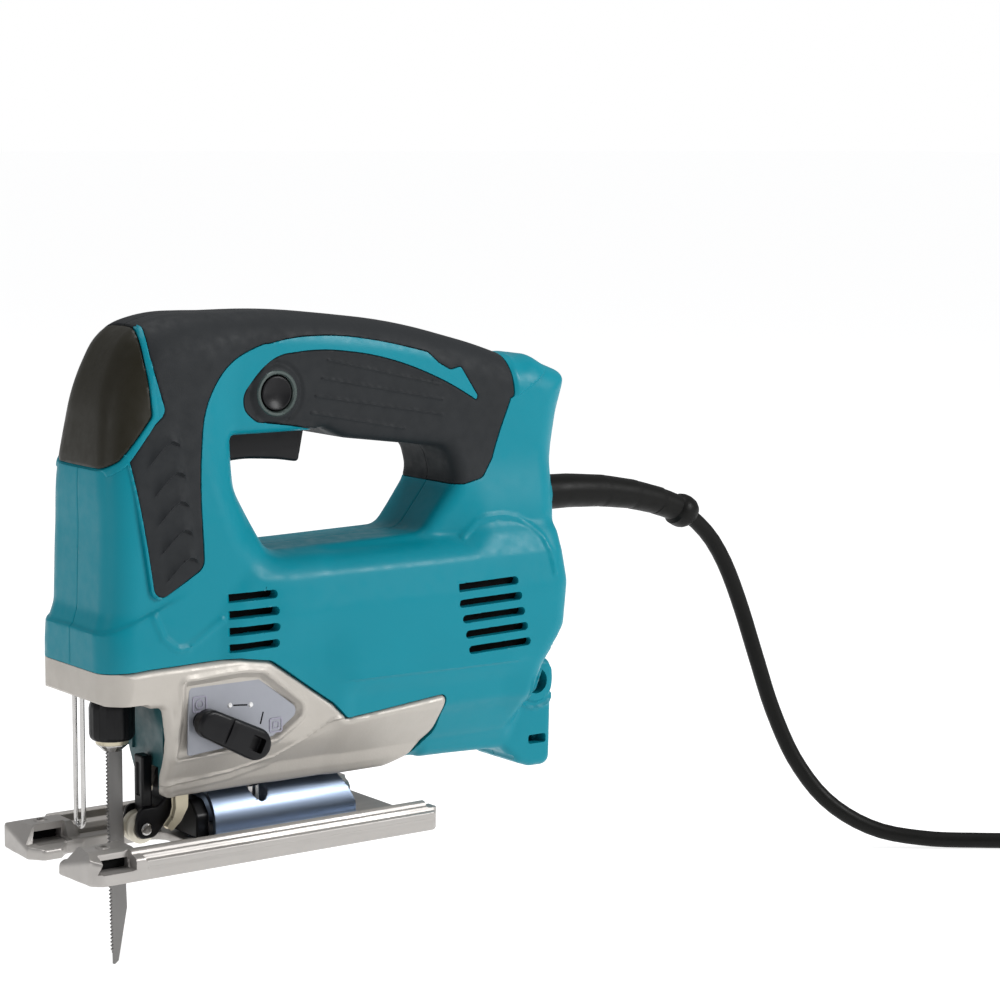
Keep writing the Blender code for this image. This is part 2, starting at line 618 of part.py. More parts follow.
def make_bevel_bolt():
    x = BOLT_STATION
    head = turned("bevel_bolt", ((4.9, 13.2), (5.4, 13.8), (5.4, 20.0)), (x, 0, 0), "z", "steel", 20)
    join(head, rod("shank", (x, 0, 0), "z", 3.0, 19.0, 34.0, "steel", 16))
    return cut(head, rod("socket", (x, 0, 0), "z", 2.9, 8.0, 17.0, sides=6))


# ---- drive -----------------------------------------------------------------------------------
def toothed(name, centre, outer, root, teeth, low, high, bore, phase=0.0):
    """Spur gear; phase shifts its teeth by a share of one tooth."""
    points = []
    for tooth in range(teeth):
        for share, radius in ((0.22, root), (0.41, outer), (0.59, outer), (0.78, root)):
            angle = 2 * math.pi * (tooth + share + phase) / teeth
            points.append(Vector((centre[0] + radius * math.cos(angle), centre[1] + radius * math.sin(angle))))
    gear = layered(name, [(low, points), (high, points)], "front", "steel")
    return cut(gear, rod("bore", (0, centre[0], centre[1]), "x", bore, low - 5, high + 5))


def make_drive():
    height = MOTOR_HEIGHT
    axis = (0, 0, height)
    toothed("pinion", (0, height), 6.4, 4.1, 7, 57.0, 65.5, 2.5, 0.25)
    gear = toothed("crank_gear", (0, GEAR_HEIGHT), 22.7, 20.2, 28, 57.5, 64.5, 4.3)
    turned("gear_axle", ((4.0, 50.8), (4.0, 69.0)), (0, 0, GEAR_HEIGHT), "x", "steel", 20)
    rod("crank_pin", (0, 0, GEAR_HEIGHT - CRANK), "x", 2.9, 48.9, 62.0, "steel", 16)
    cut(gear, rod("pin_seat", (0, 0, GEAR_HEIGHT - CRANK), "x", 3.2, 50, 70, sides=16))
    box("counterweight", (51.5, -8, GEAR_HEIGHT + 8.0), (57.1, 8, GEAR_HEIGHT + 18.0), "steel")
    turned("armature_shaft", ((2.0, 55.5), (2.2, 56.0), (2.2, 120.0), (4.0, 120.2), (4.0, 213.0),
                              (3.4, 213.8)), axis, "x", "steel", 20)
    ring("armature_core", axis, "x", 18.5, 4.3, 150, 186, "laminate")
    ring("commutator", axis, "x", 11.5, 4.3, 190, 203, "copper")
    make_fan(axis)
    ring("front_bearing", axis, "x", 11.0, 4.3, 122, 129, "steel")
    ring("rear_bearing", axis, "x", 9.5, 4.3, 206.5, 213, "steel")
    ring("stator_field", axis, "x", 28.4, 19.6, 148, 188, "laminate", 32)


def make_fan(axis):
    """Hub, backing disc and straight paddles."""
    fan = turned("cooling_fan", ((8.0, 133), (8.0, 143), (25.5, 143.2), (25.5, 145.5), (8.0, 145.6)),
                 axis, "x", "black")
    for paddle in range(7):
        angle = 2 * math.pi * (paddle + 0.5) / 7
        blade = box("paddle", (134.5, -0.9, 6.5), (144.2, 0.9, 24.0))
        blade.data.transform(Matrix.Translation((0, 0, axis[2] * MM)) @ Matrix.Rotation(angle, 4, "X"))
        join(fan, blade)
    return cut(fan, rod("bore", axis, "x", 4.3, 120, 150))


def make_brushes():
    for name, side in (("left", -1), ("right", 1)):
        low, high = sorted((side * 12.0, side * 20.0))
        box("carbon_brush_" + name, (192, low, 66.8), (199, high, 73.2), "carbon")
        low, high = sorted((side * 14.0, side * 26.0))
        holder = box("brush_holder_" + name, (190, low, 64.8), (201, high, 75.2), "brass")
        cut(holder, box("channel", (191.6, -21, 66.4), (199.4, 21, 73.6)))


def make_electrics():
    switch = box("switch_body", (117, -9.5, 164), (158, 9.5, 183), "black", edge=1.5)
    box("speed_controller", (190, -12, 128), (206, 12, 158), "black", edge=1.0)
    box("cord_clamp", (207, -10, 112), (211.5, 10, 117), "black", edge=0.6)
    return switch


def make_cam_shaft():
    """Shaft behind the selector lever that sets how far the fork swings."""
    x, z = LEVER_PIVOT
    return rod("cam_shaft", (x, 0, z), "y", 3.4, -21.6, 21.6, "steel", 16)


def make_screws():
    """Screws that hold the right clamshell, each in its own counterbore."""
    places = ((24, 94), (216, 100), (166, 36), (206, 152))
    shell = bpy.data.objects["housing_right"]
    for index, (x, z) in enumerate(places, 1):
        depth = 14.0 if z > 120 else (22.5 if x < 60 else 25.5)
        cut(shell, rod("counterbore", (x, 0, z), "y", 3.5, depth, 60, sides=16))
        screw = turned(f"housing_screw_{index}", ((3.1, depth + 0.4), (3.1, depth + 2.2), (1.8, depth + 3.2)),
                       (x, 0, z), "y", "steel", 16)
        cut(screw, box("drive", (x - 0.5, depth + 1.4, z - 2), (x + 0.5, depth + 9, z + 2)))


# ---- cord ------------------------------------------------------------------------------------
# The cord leaves the sleeve, falls to the floor that the blade tip reaches and runs to its coil.
CORD_ROUTE = (
    (0.2372, 0.0, 0.1088), (0.2440, 0.0, 0.1035), (0.2507, -0.0005, 0.0962), (0.2580, -0.0015, 0.0840),
    (0.2650, -0.0035, 0.0660), (0.2715, -0.0070, 0.0430), (0.2780, -0.0115, 0.0190),
    (0.2865, -0.0180, -0.0040), (0.2985, -0.0270, -0.0225), (0.3150, -0.0390, -0.0345),
    (0.3340, -0.0527, -0.0390), (0.3540, -0.0672, -0.0398), (0.3740, -0.0819, -0.0398),
    (0.3905, -0.0940, -0.0398),
)
COIL_CENTRE = (0.4421, -0.0724)
COIL_OUTER = 51.8
COIL_INNER = 23.2
COIL_HEIGHT = 21.0
TAIL_ROUTE = (
    (0.4365, -0.1000, -0.0184), (0.4500, -0.1040, -0.0184), (0.4640, -0.1000, -0.0180),
    (0.4740, -0.0900, -0.0165), (0.4775, -0.0800, -0.0150), (0.4775, -0.0740, -0.0148),
)
PLUG_REAR = (0.4775, -0.0737, -0.0148)


def smooth(route, spacing):
    """Points about spacing apart on a Catmull-Rom curve through the route."""
    points = [Vector(point) for point in route]
    points = [points[0] * 2 - points[1]] + points + [points[-1] * 2 - points[-2]]
    result = []
    for a, b, c, d in zip(points, points[1:], points[2:], points[3:]):
        steps = max(1, round((c - b).length / spacing))
        for step in range(steps):
            t = step / steps
            result.append(0.5 * (2 * b + (c - a) * t + (2 * a - 5 * b + 4 * c - d) * t * t
                                 + (3 * b - a - 3 * c + d) * t ** 3))
    return result + [points[-2]]


def tube(name, route):
    points = smooth(route, 2.2 * CORD_DIAMETER * MM)
    curve = bpy.data.curves.new(name, "CURVE")
    curve.dimensions = "3D"
    curve.bevel_depth = CORD_DIAMETER / 2 * MM
    curve.bevel_resolution = 2
    curve.use_fill_caps = True
    spline = curve.splines.new("POLY")
    spline.points.add(len(points) - 1)
    for target, point in zip(spline.points, points):
        target.co = (*point, 1.0)
    curve.materials.append(material("black"))
    made = bpy.data.objects.new(name, curve)
    bpy.context.scene.collection.objects.link(made)
    return made


def make_cord():
    height = CORD_HEIGHT
    stations = (((140.5, 0, height), 9.4), ((143.6, 0, height), 9.4), ((143.9, 0, height), 7.6),
                ((152, 0, height), 7.5), ((170, 0, 124.8), 7.2), ((188, 0, 123.4), 6.8),
                ((205, 0, 120.6), 6.3), ((219, 0, 116.8), 6.0), ((228.6, 0, 113.2), 5.8),
                ((229.6, 0, 112.8), 7.2), ((233.6, 0, 110.9), 7.4), ((236.7, 0, 109.2), 6.4))
    swept("strain_relief", stations, "black")
    tube("power_cord", CORD_ROUTE)
    tube("cord_tail", TAIL_ROUTE)
    x, y = COIL_CENTRE[0] / MM + DATUM, COIL_CENTRE[1] / MM
    coil = ring("cord_coil", (0, 0, 0), "z", COIL_OUTER, COIL_INNER, FLOOR, FLOOR + COIL_HEIGHT, "black", 32)
    coil.data.transform(Matrix.Translation(((x) * MM, y * MM, 0)))
    end = Vector(CORD_ROUTE[-1])
    run = (end - Vector(CORD_ROUTE[-2])).normalized()
    start = (end + run * GAP * MM) / MM
    finish = start + run * 24
    join(coil, swept("lead_in", ((start, 3.5), (finish, 3.5)), "black", 10))
    return coil


def make_plug():
    """Two-blade mains plug that lies on the coil."""
    x, y, z = (value / MM for value in PLUG_REAR)
    nose = y + 34.0
    rings = []
    for depth, wide, high in ((y, 5.0, 4.6), (y + 10, 6.0, 5.4), (y + 16, 12.0, 7.2), (nose - 1.2, 12.6, 7.4),
                              (nose, 11.6, 6.4)):
        corners = ((x + DATUM - wide, z - high, 2.5), (x + DATUM + wide, z - high, 2.5),
                   (x + DATUM + wide, z + high, 2.5), (x + DATUM - wide, z + high, 2.5))
        rings.append((depth, fillet(corners)))
    layered("plug_body", rings, "side", "black")
    for name, side in (("left", -1), ("right", 1)):
        centre = x + DATUM + side * 6.35
        box("plug_prong_" + name, (centre - 0.75, nose + GAP, z - 3.2), (centre + 0.75, nose + 17.5, z + 3.2), "brass")


def build_model():
    clear_scene()
    make_housing()
    make_skins()
    make_casting()
    make_trigger()
    make_lock_button()
    make_lever()
    make_blade()
    make_clamp()
    make_plunger()
    make_rod_guide()
    make_roller()
    make_wire_guard()
    make_inner_guard()
    make_shoe()
    make_bracket()
    make_bevel_bolt()
    make_drive()
    make_brushes()
    make_electrics()
    make_cam_shaft()
    make_screws()
    make_cord()
    make_plug()


build_model()
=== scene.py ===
"""Looks of the corded jigsaw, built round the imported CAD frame.

Moulded and cast shells are described as signed distance fields and turned into meshes by dual
contouring, which keeps their crisp parting lines; turned, bent and sheet parts are modelled
directly.  Fields work in millimetres: x is the station behind the shoe's front edge, y runs to
the tool's right, z is the height over the sole.
"""
import json
import math
from functools import reduce

import bmesh
import bpy
import numpy as np
from mathutils import Matrix, Vector

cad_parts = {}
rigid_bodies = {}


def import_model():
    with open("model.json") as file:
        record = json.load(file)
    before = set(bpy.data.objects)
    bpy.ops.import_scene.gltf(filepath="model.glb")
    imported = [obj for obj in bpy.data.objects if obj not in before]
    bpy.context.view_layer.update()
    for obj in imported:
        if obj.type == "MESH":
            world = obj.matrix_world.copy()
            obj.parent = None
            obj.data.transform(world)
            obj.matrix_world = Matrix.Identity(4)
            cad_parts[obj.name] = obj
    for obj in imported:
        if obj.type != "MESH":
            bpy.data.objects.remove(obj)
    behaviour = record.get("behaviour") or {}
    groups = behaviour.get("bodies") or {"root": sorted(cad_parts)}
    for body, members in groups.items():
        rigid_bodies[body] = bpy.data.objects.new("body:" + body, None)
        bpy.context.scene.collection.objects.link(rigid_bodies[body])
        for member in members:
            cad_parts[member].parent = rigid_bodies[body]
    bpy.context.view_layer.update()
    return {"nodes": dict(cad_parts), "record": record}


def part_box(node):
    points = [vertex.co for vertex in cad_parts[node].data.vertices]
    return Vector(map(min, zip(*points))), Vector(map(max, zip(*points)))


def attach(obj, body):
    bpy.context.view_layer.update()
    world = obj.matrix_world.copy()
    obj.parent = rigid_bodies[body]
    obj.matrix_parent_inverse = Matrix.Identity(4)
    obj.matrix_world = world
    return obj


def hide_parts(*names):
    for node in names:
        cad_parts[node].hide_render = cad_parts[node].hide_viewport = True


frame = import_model()

MM = 0.001
DATUM = -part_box("shoe")[0][0] / MM            # station of the frame's origin
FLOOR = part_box("saw_blade")[0][2] / MM - 0.5  # height of the floor

HANDLE_HALF = 20.0
NOSE_HALF = 28.5
SKIN = 2.4

# Places on the tool: (station, height), a station or a height.
LOCK = (91, 175.5)            # lock button
CAM = (52, 54.5)              # selector's shaft
ROLLER = (40.6, 9.8)          # guide roller's pin
FORK_PIVOT = (55, 27.5)
REAR_RING = (218.5, 49.5)     # ring on the rear lobe
TOP_SCREW = (206, 152)
STROKE_X = 29.5               # plunger, clamp and blade
BOLT_X = 88                   # bolt that clamps the shoe
MOTOR_Z = 70                  # armature's axis
CORD_Z = 125                  # cord's way out
TILT_Z = 9                    # axis that the shoe tilts on
PLUG_X = 477.5 + DATUM
PLUG_TAIL = -73.7             # where the plug's grip starts, to the left


# ---- side outlines: station, height, corner radius ----
LOOP = ((23, 90, 2), (225, 90, 2), (227.5, 140, 5), (231, 160, 20), (236, 176, 4), (216, 183.8, 4),
        (209, 183.4, 4), (190, 190, 200), (150, 200.8, 300), (100, 206.4, 300), (50, 206.2, 60),
        (32, 201.0, 20),
        (25, 182, 60), (23, 150, 200))
NOSE = ((12.0, 60, 2), (111, 60, 2), (111, 112, 6), (86, 114, 6), (76, 124, 8), (68, 150, 30),
        (68, 176, 30), (76, 199, 10), (50, 201.5, 60), (33, 197.5, 18), (21.6, 180, 60), (16.3, 150, 200),
        (14.4, 97.5, 4), (12.3, 91, 3))
MOTOR = ((62, 20.0, 2), (205, 24.5, 3), (214, 58, 3), (224, 74, 5), (226, 93, 8), (224, 118, 9),
         (188, 121, 9), (176, 113.5, 8), (74, 113.5, 6), (62, 100, 2))
WINDOW = ((88, 114.5, 9), (160, 116, 9), (176, 136, 10), (172, 149, 6), (124, 155.5, 12),
          (114, 160, 3), (72, 160, 2), (73, 140, 12))
LOBE = ((160, 24.5, 2), (202, 22.2, 3), (210.5, 14.8, 4), (217, 12.6, 5), (227, 12.4, 4), (228, 58, 5),
        (160, 60, 2))
CASTING = ((9, 65.5, 1), (18, 62.4, 4), (36.3, 61.2, 3), (38.9, 48.2, 20), (39.5, 41.7, 20),
           (40.6, 36.5, 20), (41.4, 29.4, 15), (42.0, 25.6, 4), (45.4, 21.5, 5), (143, 21.5, 6),
           (154.5, 25.5, 8),
           (163.5, 36, 8), (164, 52.2, 2.5), (117.5, 47.5, 3), (110.5, 54.5, 4), (82, 74.5, 7),
           (68, 76.8, 6), (30, 76.6, 8), (9, 75.4, 1))
BUMPER = ((3, 149, 1), (15, 149, 3), (22.0, 154.0, 6), (35.2, 170.0, 4), (34.4, 186, 60), (32.2, 199, 30),
          (31.0, 216, 2), (3, 216, 1))
PAD = ((24.5, 157, 3), (33.2, 100.5, 4), (54, 112.8, 5), (53, 142, 200), (57, 172, 60), (68, 187.3, 60),
       (83, 194, 60), (97, 197.0, 30), (97, 216, 2), (29, 216, 2), (41, 171, 4))
TOP_BAND = ((80, 192.8, 10), (98, 196.7, 200), (121, 196.7, 200), (143.5, 192.8, 200), (161.6, 188.3, 3),
            (166.4, 183.9, 3), (172.3, 180.8, 3), (177.2, 182, 1.2), (187.6, 166.9, 0.6), (204, 168, 2),
            (200, 216, 2), (80, 216, 2))
REAR_GRIP = ((186, 169.5, 4), (176, 158, 8), (160, 152, 10), (160, 130, 3), (168, 134.6, 4),
        (178.4, 134.6, 3),
             (187, 136.6, 5), (192.5, 144, 6), (197, 156, 14), (202.2, 168, 12), (202.6, 177.5, 4),
             (199.2, 186, 4), (200, 216, 2), (178, 216, 2))
SIDE_PANEL = ((76.3, 175.5, 200), (84, 184.6, 200), (92, 190.0, 200), (111.5, 191.6, 200),
              (134.5, 188.6, 200), (153, 183.4, 200), (172.3, 175.3, 200), (189.5, 165.2, 0.6), (184, 150, 4),
              (150, 143, 4), (119, 146, 2), (114, 157.8, 1.5), (108.2, 160.9, 8), (96.4, 163, 100),
              (82, 165, 6),
              (76.8, 169.5, 6))
TRIGGER = ((72.2, 148.4, 2), (85, 149.4, 60), (100, 148.2, 60), (109.6, 146.6, 1.6), (110.2, 152, 2),
           (112, 161, 1.5), (75, 165, 2))


# ---- field tools ----
def inset(points, distance):
    """Outline moved inwards; the points run counter-clockwise."""
    moved = []
    for index, point in enumerate(points):
        before = (point - points[index - 1]).normalized()
        after = (points[(index + 1) % len(points)] - point).normalized()
        normal_a = Vector((-before.y, before.x))
        normal_b = Vector((-after.y, after.x))
        middle = (normal_a + normal_b).normalized()
        moved.append(point + middle * (distance / max(0.35, middle.dot(normal_a))))
    return moved


def fillet(corners, steps=6):
    """Outline with each corner (a, b, radius) turned into an arc."""
    points = []
    count = len(corners)
    for index, (a, b, radius) in enumerate(corners):
        corner = Vector((a, b))
        to_before = Vector(corners[index - 1][:2]) - corner
        to_after = Vector(corners[(index + 1) % count][:2]) - corner
        half = to_before.angle(to_after) / 2
        if radius <= 0 or math.pi / 2 - half < 0.01:
            points.append(corner)
            continue
        room = 0.48 * min(to_before.length, to_after.length)
        radius = min(radius, room * math.tan(half))
        reach = radius / math.tan(half)
        before, after = to_before.normalized(), to_after.normalized()
        centre = corner + (before + after).normalized() * (radius / math.sin(half))
        start = corner + before * reach - centre
        end = corner + after * reach - centre
        for step in range(steps + 1):
            blend = start.lerp(end, step / steps)
            points.append(centre + blend.normalized() * radius)
    return points


class Outline:
    """Signed distance to a closed outline, tabulated once and read back by interpolation."""

    def __init__(self, corners, soften=0.0, cell=0.5, margin=46.0):
        points = np.array([tuple(point) for point in fillet(corners)])
        self.cell = cell
        self.low = points.min(axis=0) - margin
        size = np.ceil((points.max(axis=0) + margin - self.low) / cell).astype(int) + 1
        a = self.low[0] + np.arange(size[0]) * cell
        b = self.low[1] + np.arange(size[1]) * cell
        grid_a, grid_b = np.meshgrid(a, b, indexing="ij")
        nearest = np.full(grid_a.shape, 1e9)
        inside = np.zeros(grid_a.shape, bool)
        for start, end in zip(points, np.roll(points, -1, axis=0)):
            edge = end - start
            length = max(edge @ edge, 1e-12)
            share = ((grid_a - start[0]) * edge[0] + (grid_b - start[1]) * edge[1]) / length
            share = np.clip(share, 0.0, 1.0)
            gap = (grid_a - start[0] - share * edge[0]) ** 2 + (grid_b - start[1] - share * edge[1]) ** 2
            nearest = np.minimum(nearest, gap)
            if edge[1] != 0:
                spans = (grid_b >= min(start[1], end[1])) & (grid_b < max(start[1], end[1]))
                crossing = start[0] + (grid_b - start[1]) * edge[0] / edge[1]
                inside ^= spans & (grid_a < crossing)
        table = np.where(inside, -1.0, 1.0) * np.sqrt(nearest)
        if soften > 0:
            reach = int(3 * soften / cell)
            kernel = np.exp(-0.5 * (np.arange(-reach, reach + 1) * cell / soften) ** 2)
            kernel /= kernel.sum()
            for axis in (0, 1):
                padded = np.pad(table, [(reach, reach) if k == axis else (0, 0) for k in (0, 1)], "edge")
                table = sum(weight * np.take(padded, range(i, i + table.shape[axis]), axis=axis)
                            for i, weight in enumerate(kernel))
        self.table = table.astype(np.float64)

    def __call__(self, a, b):
        rows, columns = self.table.shape
        u = np.clip((a - self.low[0]) / self.cell, 0, rows - 1.001)
        v = np.clip((b - self.low[1]) / self.cell, 0, columns - 1.001)
        i = u.astype(int)
        j = v.astype(int)
        u -= i
        v -= j
        flat = self.table.ravel()
        base = i * columns + j
        near = flat[base] * (1 - v) + flat[base + 1] * v
        far = flat[base + columns] * (1 - v) + flat[base + columns + 1] * v
        return near * (1 - u) + far * u


def both(*fields):
    """Field of what lies inside every one of the fields."""
    return reduce(np.maximum, fields)


def either(*fields):
    """Field of what lies inside at least one of the fields."""
    return reduce(np.minimum, fields)


def cut(solid, *holes):
    """Field of the solid without the holes."""
    return np.maximum(solid, -either(*holes))


def span(a, b):
    """Length of the vector (a, b)."""
    return np.sqrt(a ** 2 + b ** 2)


def gap_to(spot, x, z):
    """Distance from a (station, height) spot, seen from the side."""
    return span(x - spot[0], z - spot[1])


def rounded(flat, across, radius):
    """Meeting of a side outline's field and a thickness field with a rounded edge."""
    a = flat + radius
    b = across + radius
    outside = span(np.maximum(a, 0), np.maximum(b, 0))
    return np.minimum(both(a, b), 0) + outside - radius


def melt(a, b, reach):
    """Smooth union."""
    share = np.clip(0.5 + 0.5 * (b - a) / reach, 0, 1)
    return b + (a - b) * share - reach * share * (1 - share)


def carve(a, b, reach):
    """Smooth removal of b from a."""
    return -melt(-a, b, reach)


def block_field(x, y, z, low, high, radius=0.0):
    """Box with rounded edges."""
    parts = []
    for value, start, end in zip((x, y, z), low, high):
        parts.append(np.abs(value - (start + end) / 2) - (end - start) / 2 + radius)
    outside = np.sqrt(sum(np.maximum(part, 0) ** 2 for part in parts))
    return np.minimum(both(parts[0], parts[1], parts[2]), 0) + outside - radius


def ramp(value, start, end):
    """Smooth step from 0 at start to 1 at end."""
    share = np.clip((value - start) / (end - start), 0, 1)
    return share * share * (3 - 2 * share)


def ridge(distance, width):
    """Smooth bump of height 1 where distance is near 0."""
    share = np.clip(1 - np.abs(distance) / width, 0, 1)
    return share * share * (3 - 2 * share)


def contour(field, low, high, step):
    """Dual contouring of field(x, y, z) in a box: points and quads, sharp where the field is."""
    block = 8        # cells along a block that is tested as a whole
    batch = 400000   # places sampled at a time
    slack = 1.35     # by how much a field may outrun true distance
    probe_gap = 0.12
    pull = 0.03      # how firmly a point is held to the middle of its crossings
    low = np.array(low, float)
    blocks = np.ceil((np.array(high) - low) / step / block).astype(int)
    cells = blocks * block
    centres = [low[k] + (np.arange(blocks[k]) + 0.5) * block * step for k in range(3)]
    cx, cy, cz = np.meshgrid(*centres, indexing="ij")
    coarse = field(cx.ravel(), cy.ravel(), cz.ravel()).reshape(blocks)
    active = np.abs(coarse) < block * step * 0.87 * slack + 1.0
    index = [either(np.arange(cells[k] + 1) // block, blocks[k] - 1) for k in range(3)]
    values = coarse[np.ix_(*index)].astype(np.float32)
    need = np.zeros(cells + 1, bool)
    for offset in np.argwhere(active):
        a = offset * block
        need[a[0]:a[0] + block + 1, a[1]:a[1] + block + 1, a[2]:a[2] + block + 1] = True
    where = np.argwhere(need)
    found = np.empty(len(where), np.float32)
    for start in range(0, len(where), batch):
        part = low + where[start:start + batch] * step
        found[start:start + batch] = field(part[:, 0], part[:, 1], part[:, 2])
    values[need] = found
    inside = values < 0
    points, normals, owners, quads_of = [], [], [], []
    shape = tuple(cells)
    for axis in range(3):
        first = [slice(None)] * 3
        second = [slice(None)] * 3
        first[axis] = slice(0, -1)
        second[axis] = slice(1, None)
        crossing = np.argwhere(inside[tuple(first)] != inside[tuple(second)])
        other = [(axis + 1) % 3, (axis + 2) % 3]
        fits = np.ones(len(crossing), bool)
        for k in other:
            fits &= (crossing[:, k] > 0) & (crossing[:, k] < cells[k])
        crossing = crossing[fits]
        shifted = crossing.copy()
        shifted[:, axis] += 1
        near = values[tuple(crossing.T)].astype(float)
        far = values[tuple(shifted.T)].astype(float)
        start = low + crossing * step
        share_near, share_far = np.zeros(len(start)), np.ones(len(start))
        share = near / (near - far)
        for _ in range(2):  # closes in on the crossing
            probe = start.copy()
            probe[:, axis] += share * step
            middle = field(probe[:, 0], probe[:, 1], probe[:, 2])
            same = (middle < 0) == (near < 0)
            share_near = np.where(same, share, share_near)
            near = np.where(same, middle, near)
            share_far = np.where(same, share_far, share)
            far = np.where(same, far, middle)
            split = near - far
            split = np.where(np.abs(split) < 1e-9, 1e-9, split)
            share = np.clip(share_near + (share_far - share_near) * near / split, 0, 1)
        point = start.copy()
        point[:, axis] += share * step
        normal = np.zeros_like(point)
        for corner in ((1, -1, -1), (-1, -1, 1), (-1, 1, -1), (1, 1, 1)):
            value = field(*(point[:, k] + probe_gap * corner[k] for k in range(3)))
            normal += value[:, None] * np.array(corner)
        normal /= np.maximum(np.linalg.norm(normal, axis=1), 1e-9)[:, None]
        corners = []
        for da, db in ((-1, -1), (0, -1), (0, 0), (-1, 0)):
            cell = crossing.copy()
            cell[:, other[0]] += da
            cell[:, other[1]] += db
            corners.append(np.ravel_multi_index(cell.T, shape))
        quad = np.stack(corners, axis=1)
        starts_inside = inside[tuple(crossing.T)]
        quad[~starts_inside] = quad[~starts_inside][:, ::-1]
        quads_of.append(quad)
        for column in corners:
            points.append(point)
            normals.append(normal)
            owners.append(column)
    owners = np.concatenate(owners)
    points = np.concatenate(points)
    normals = np.concatenate(normals)
    ids, compact = np.unique(owners, return_inverse=True)
    count = np.bincount(compact)
    mean = np.stack([np.bincount(compact, points[:, k]) for k in range(3)], axis=1) / count[:, None]
    offset = ((points - mean[compact]) * normals).sum(axis=1)
    matrix = np.zeros((len(ids), 3, 3))
    side = np.zeros((len(ids), 3))
    for i in range(3):
        side[:, i] = np.bincount(compact, normals[:, i] * offset)
        for j in range(3):
            matrix[:, i, j] = np.bincount(compact, normals[:, i] * normals[:, j])
    matrix += np.eye(3) * (pull * count)[:, None, None]
    move = np.linalg.solve(matrix, side[:, :, None])[:, :, 0]
    cell_low = low + np.stack(np.unravel_index(ids, shape), axis=1) * step
    vertices = np.clip(mean + move, cell_low, cell_low + step)
    quads = np.searchsorted(ids, np.concatenate(quads_of))
    return vertices, quads


def grown(name, field, low, high, step, material, body="housing", replaces=None, sharp=28):
    """Piece meshed from a field and hung on its CAD body."""
    vertices, quads = contour(field, low, high, step)
    vertices = (vertices - np.array((DATUM, 0, 0))) * MM
    mesh = bpy.data.meshes.new(name)
    mesh.vertices.add(len(vertices))
    mesh.vertices.foreach_set("co", vertices.ravel())
    mesh.loops.add(quads.size)
    mesh.loops.foreach_set("vertex_index", quads.ravel())
    mesh.polygons.add(len(quads))
    mesh.polygons.foreach_set("loop_start", np.arange(0, quads.size, 4))
    mesh.update(calc_edges=True)
    mesh.validate()
    piece = add_piece(name, mesh, material, body, replaces)
    keep_main_shell(piece)
    mesh.shade_smooth()
    mesh.set_sharp_from_angle(angle=math.radians(sharp))
    return piece


def keep_main_shell(piece, smallest=60):
    """Drops crumbs of a few faces that a thin sliver of field can leave."""
    build = bmesh.new()
    build.from_mesh(piece.data)
    build.verts.ensure_lookup_table()
    seen = np.zeros(len(build.verts), bool)
    crumbs = []
    for vertex in build.verts:
        if seen[vertex.index]:
            continue
        stack, group = [vertex], []
        seen[vertex.index] = True
        while stack:
            current = stack.pop()
            group.append(current)
            for edge in current.link_edges:
                other = edge.other_vert(current)
                if not seen[other.index]:
                    seen[other.index] = True
                    stack.append(other)
        if len(group) < smallest:
            crumbs += group
    if crumbs:
        bmesh.ops.delete(build, geom=crumbs, context="VERTS")
        build.to_mesh(piece.data)
    build.free()


# ---- materials ----
def nodes_of(name):
    """New material with its node tree and its main shader."""
    made = bpy.data.materials.new(name)
    made.use_nodes = True
    tree = made.node_tree
    return made, tree, tree.nodes["Principled BSDF"]


def set_inputs(node, values):
    for key, value in values.items():
        node.inputs[key].default_value = value


def add_noise(tree, scale, detail, stretch=None):
    """Noise in the piece's own coordinates, drawn out along an axis where stretch is given."""
    place = tree.nodes.new("ShaderNodeTexCoord").outputs["Object"]
    noise = tree.nodes.new("ShaderNodeTexNoise")
    set_inputs(noise, {"Scale": scale, "Detail": detail})
    if stretch:
        mapping = tree.nodes.new("ShaderNodeMapping")
        set_inputs(mapping, {"Scale": stretch})
        tree.links.new(place, mapping.inputs["Vector"])
        place = mapping.outputs["Vector"]
    tree.links.new(place, noise.inputs["Vector"])
    return noise


def surface(name, colour, roughness, metallic=0.0, grain=1500.0, depth=0.00004, mottle=0.06,
            rough_span=0.08, stretch=None, specular=0.5):
    """Principled material with mottled colour, uneven roughness and a fine surface grain."""
    made, tree, shader = nodes_of(name)
    broad = add_noise(tree, 55.0, 4.0)
    tint = tree.nodes.new("ShaderNodeMix")
    tint.data_type = "RGBA"
    set_inputs(tint, {"A": (*[c * (1 - mottle) for c in colour], 1),
                      "B": (*[min(1.0, c * (1 + mottle)) for c in colour], 1)})
    tree.links.new(broad.outputs["Fac"], tint.inputs["Factor"])
    tree.links.new(tint.outputs["Result"], shader.inputs["Base Color"])
    cloud = add_noise(tree, 240.0, 3.0, stretch)
    spread = tree.nodes.new("ShaderNodeMapRange")
    set_inputs(spread, {"From Min": 0.3, "From Max": 0.7, "To Min": max(0.02, roughness - rough_span),
                        "To Max": min(1.0, roughness + rough_span)})
    tree.links.new(cloud.outputs["Fac"], spread.inputs["Value"])
    tree.links.new(spread.outputs["Result"], shader.inputs["Roughness"])
    texture = add_noise(tree, grain, 2.0, stretch)
    bump = tree.nodes.new("ShaderNodeBump")
    set_inputs(bump, {"Strength": 0.6, "Distance": depth})
    tree.links.new(texture.outputs["Fac"], bump.inputs["Height"])
    tree.links.new(bump.outputs["Normal"], shader.inputs["Normal"])
    set_inputs(shader, {"Metallic": metallic, "Specular IOR Level": specular})
    return made


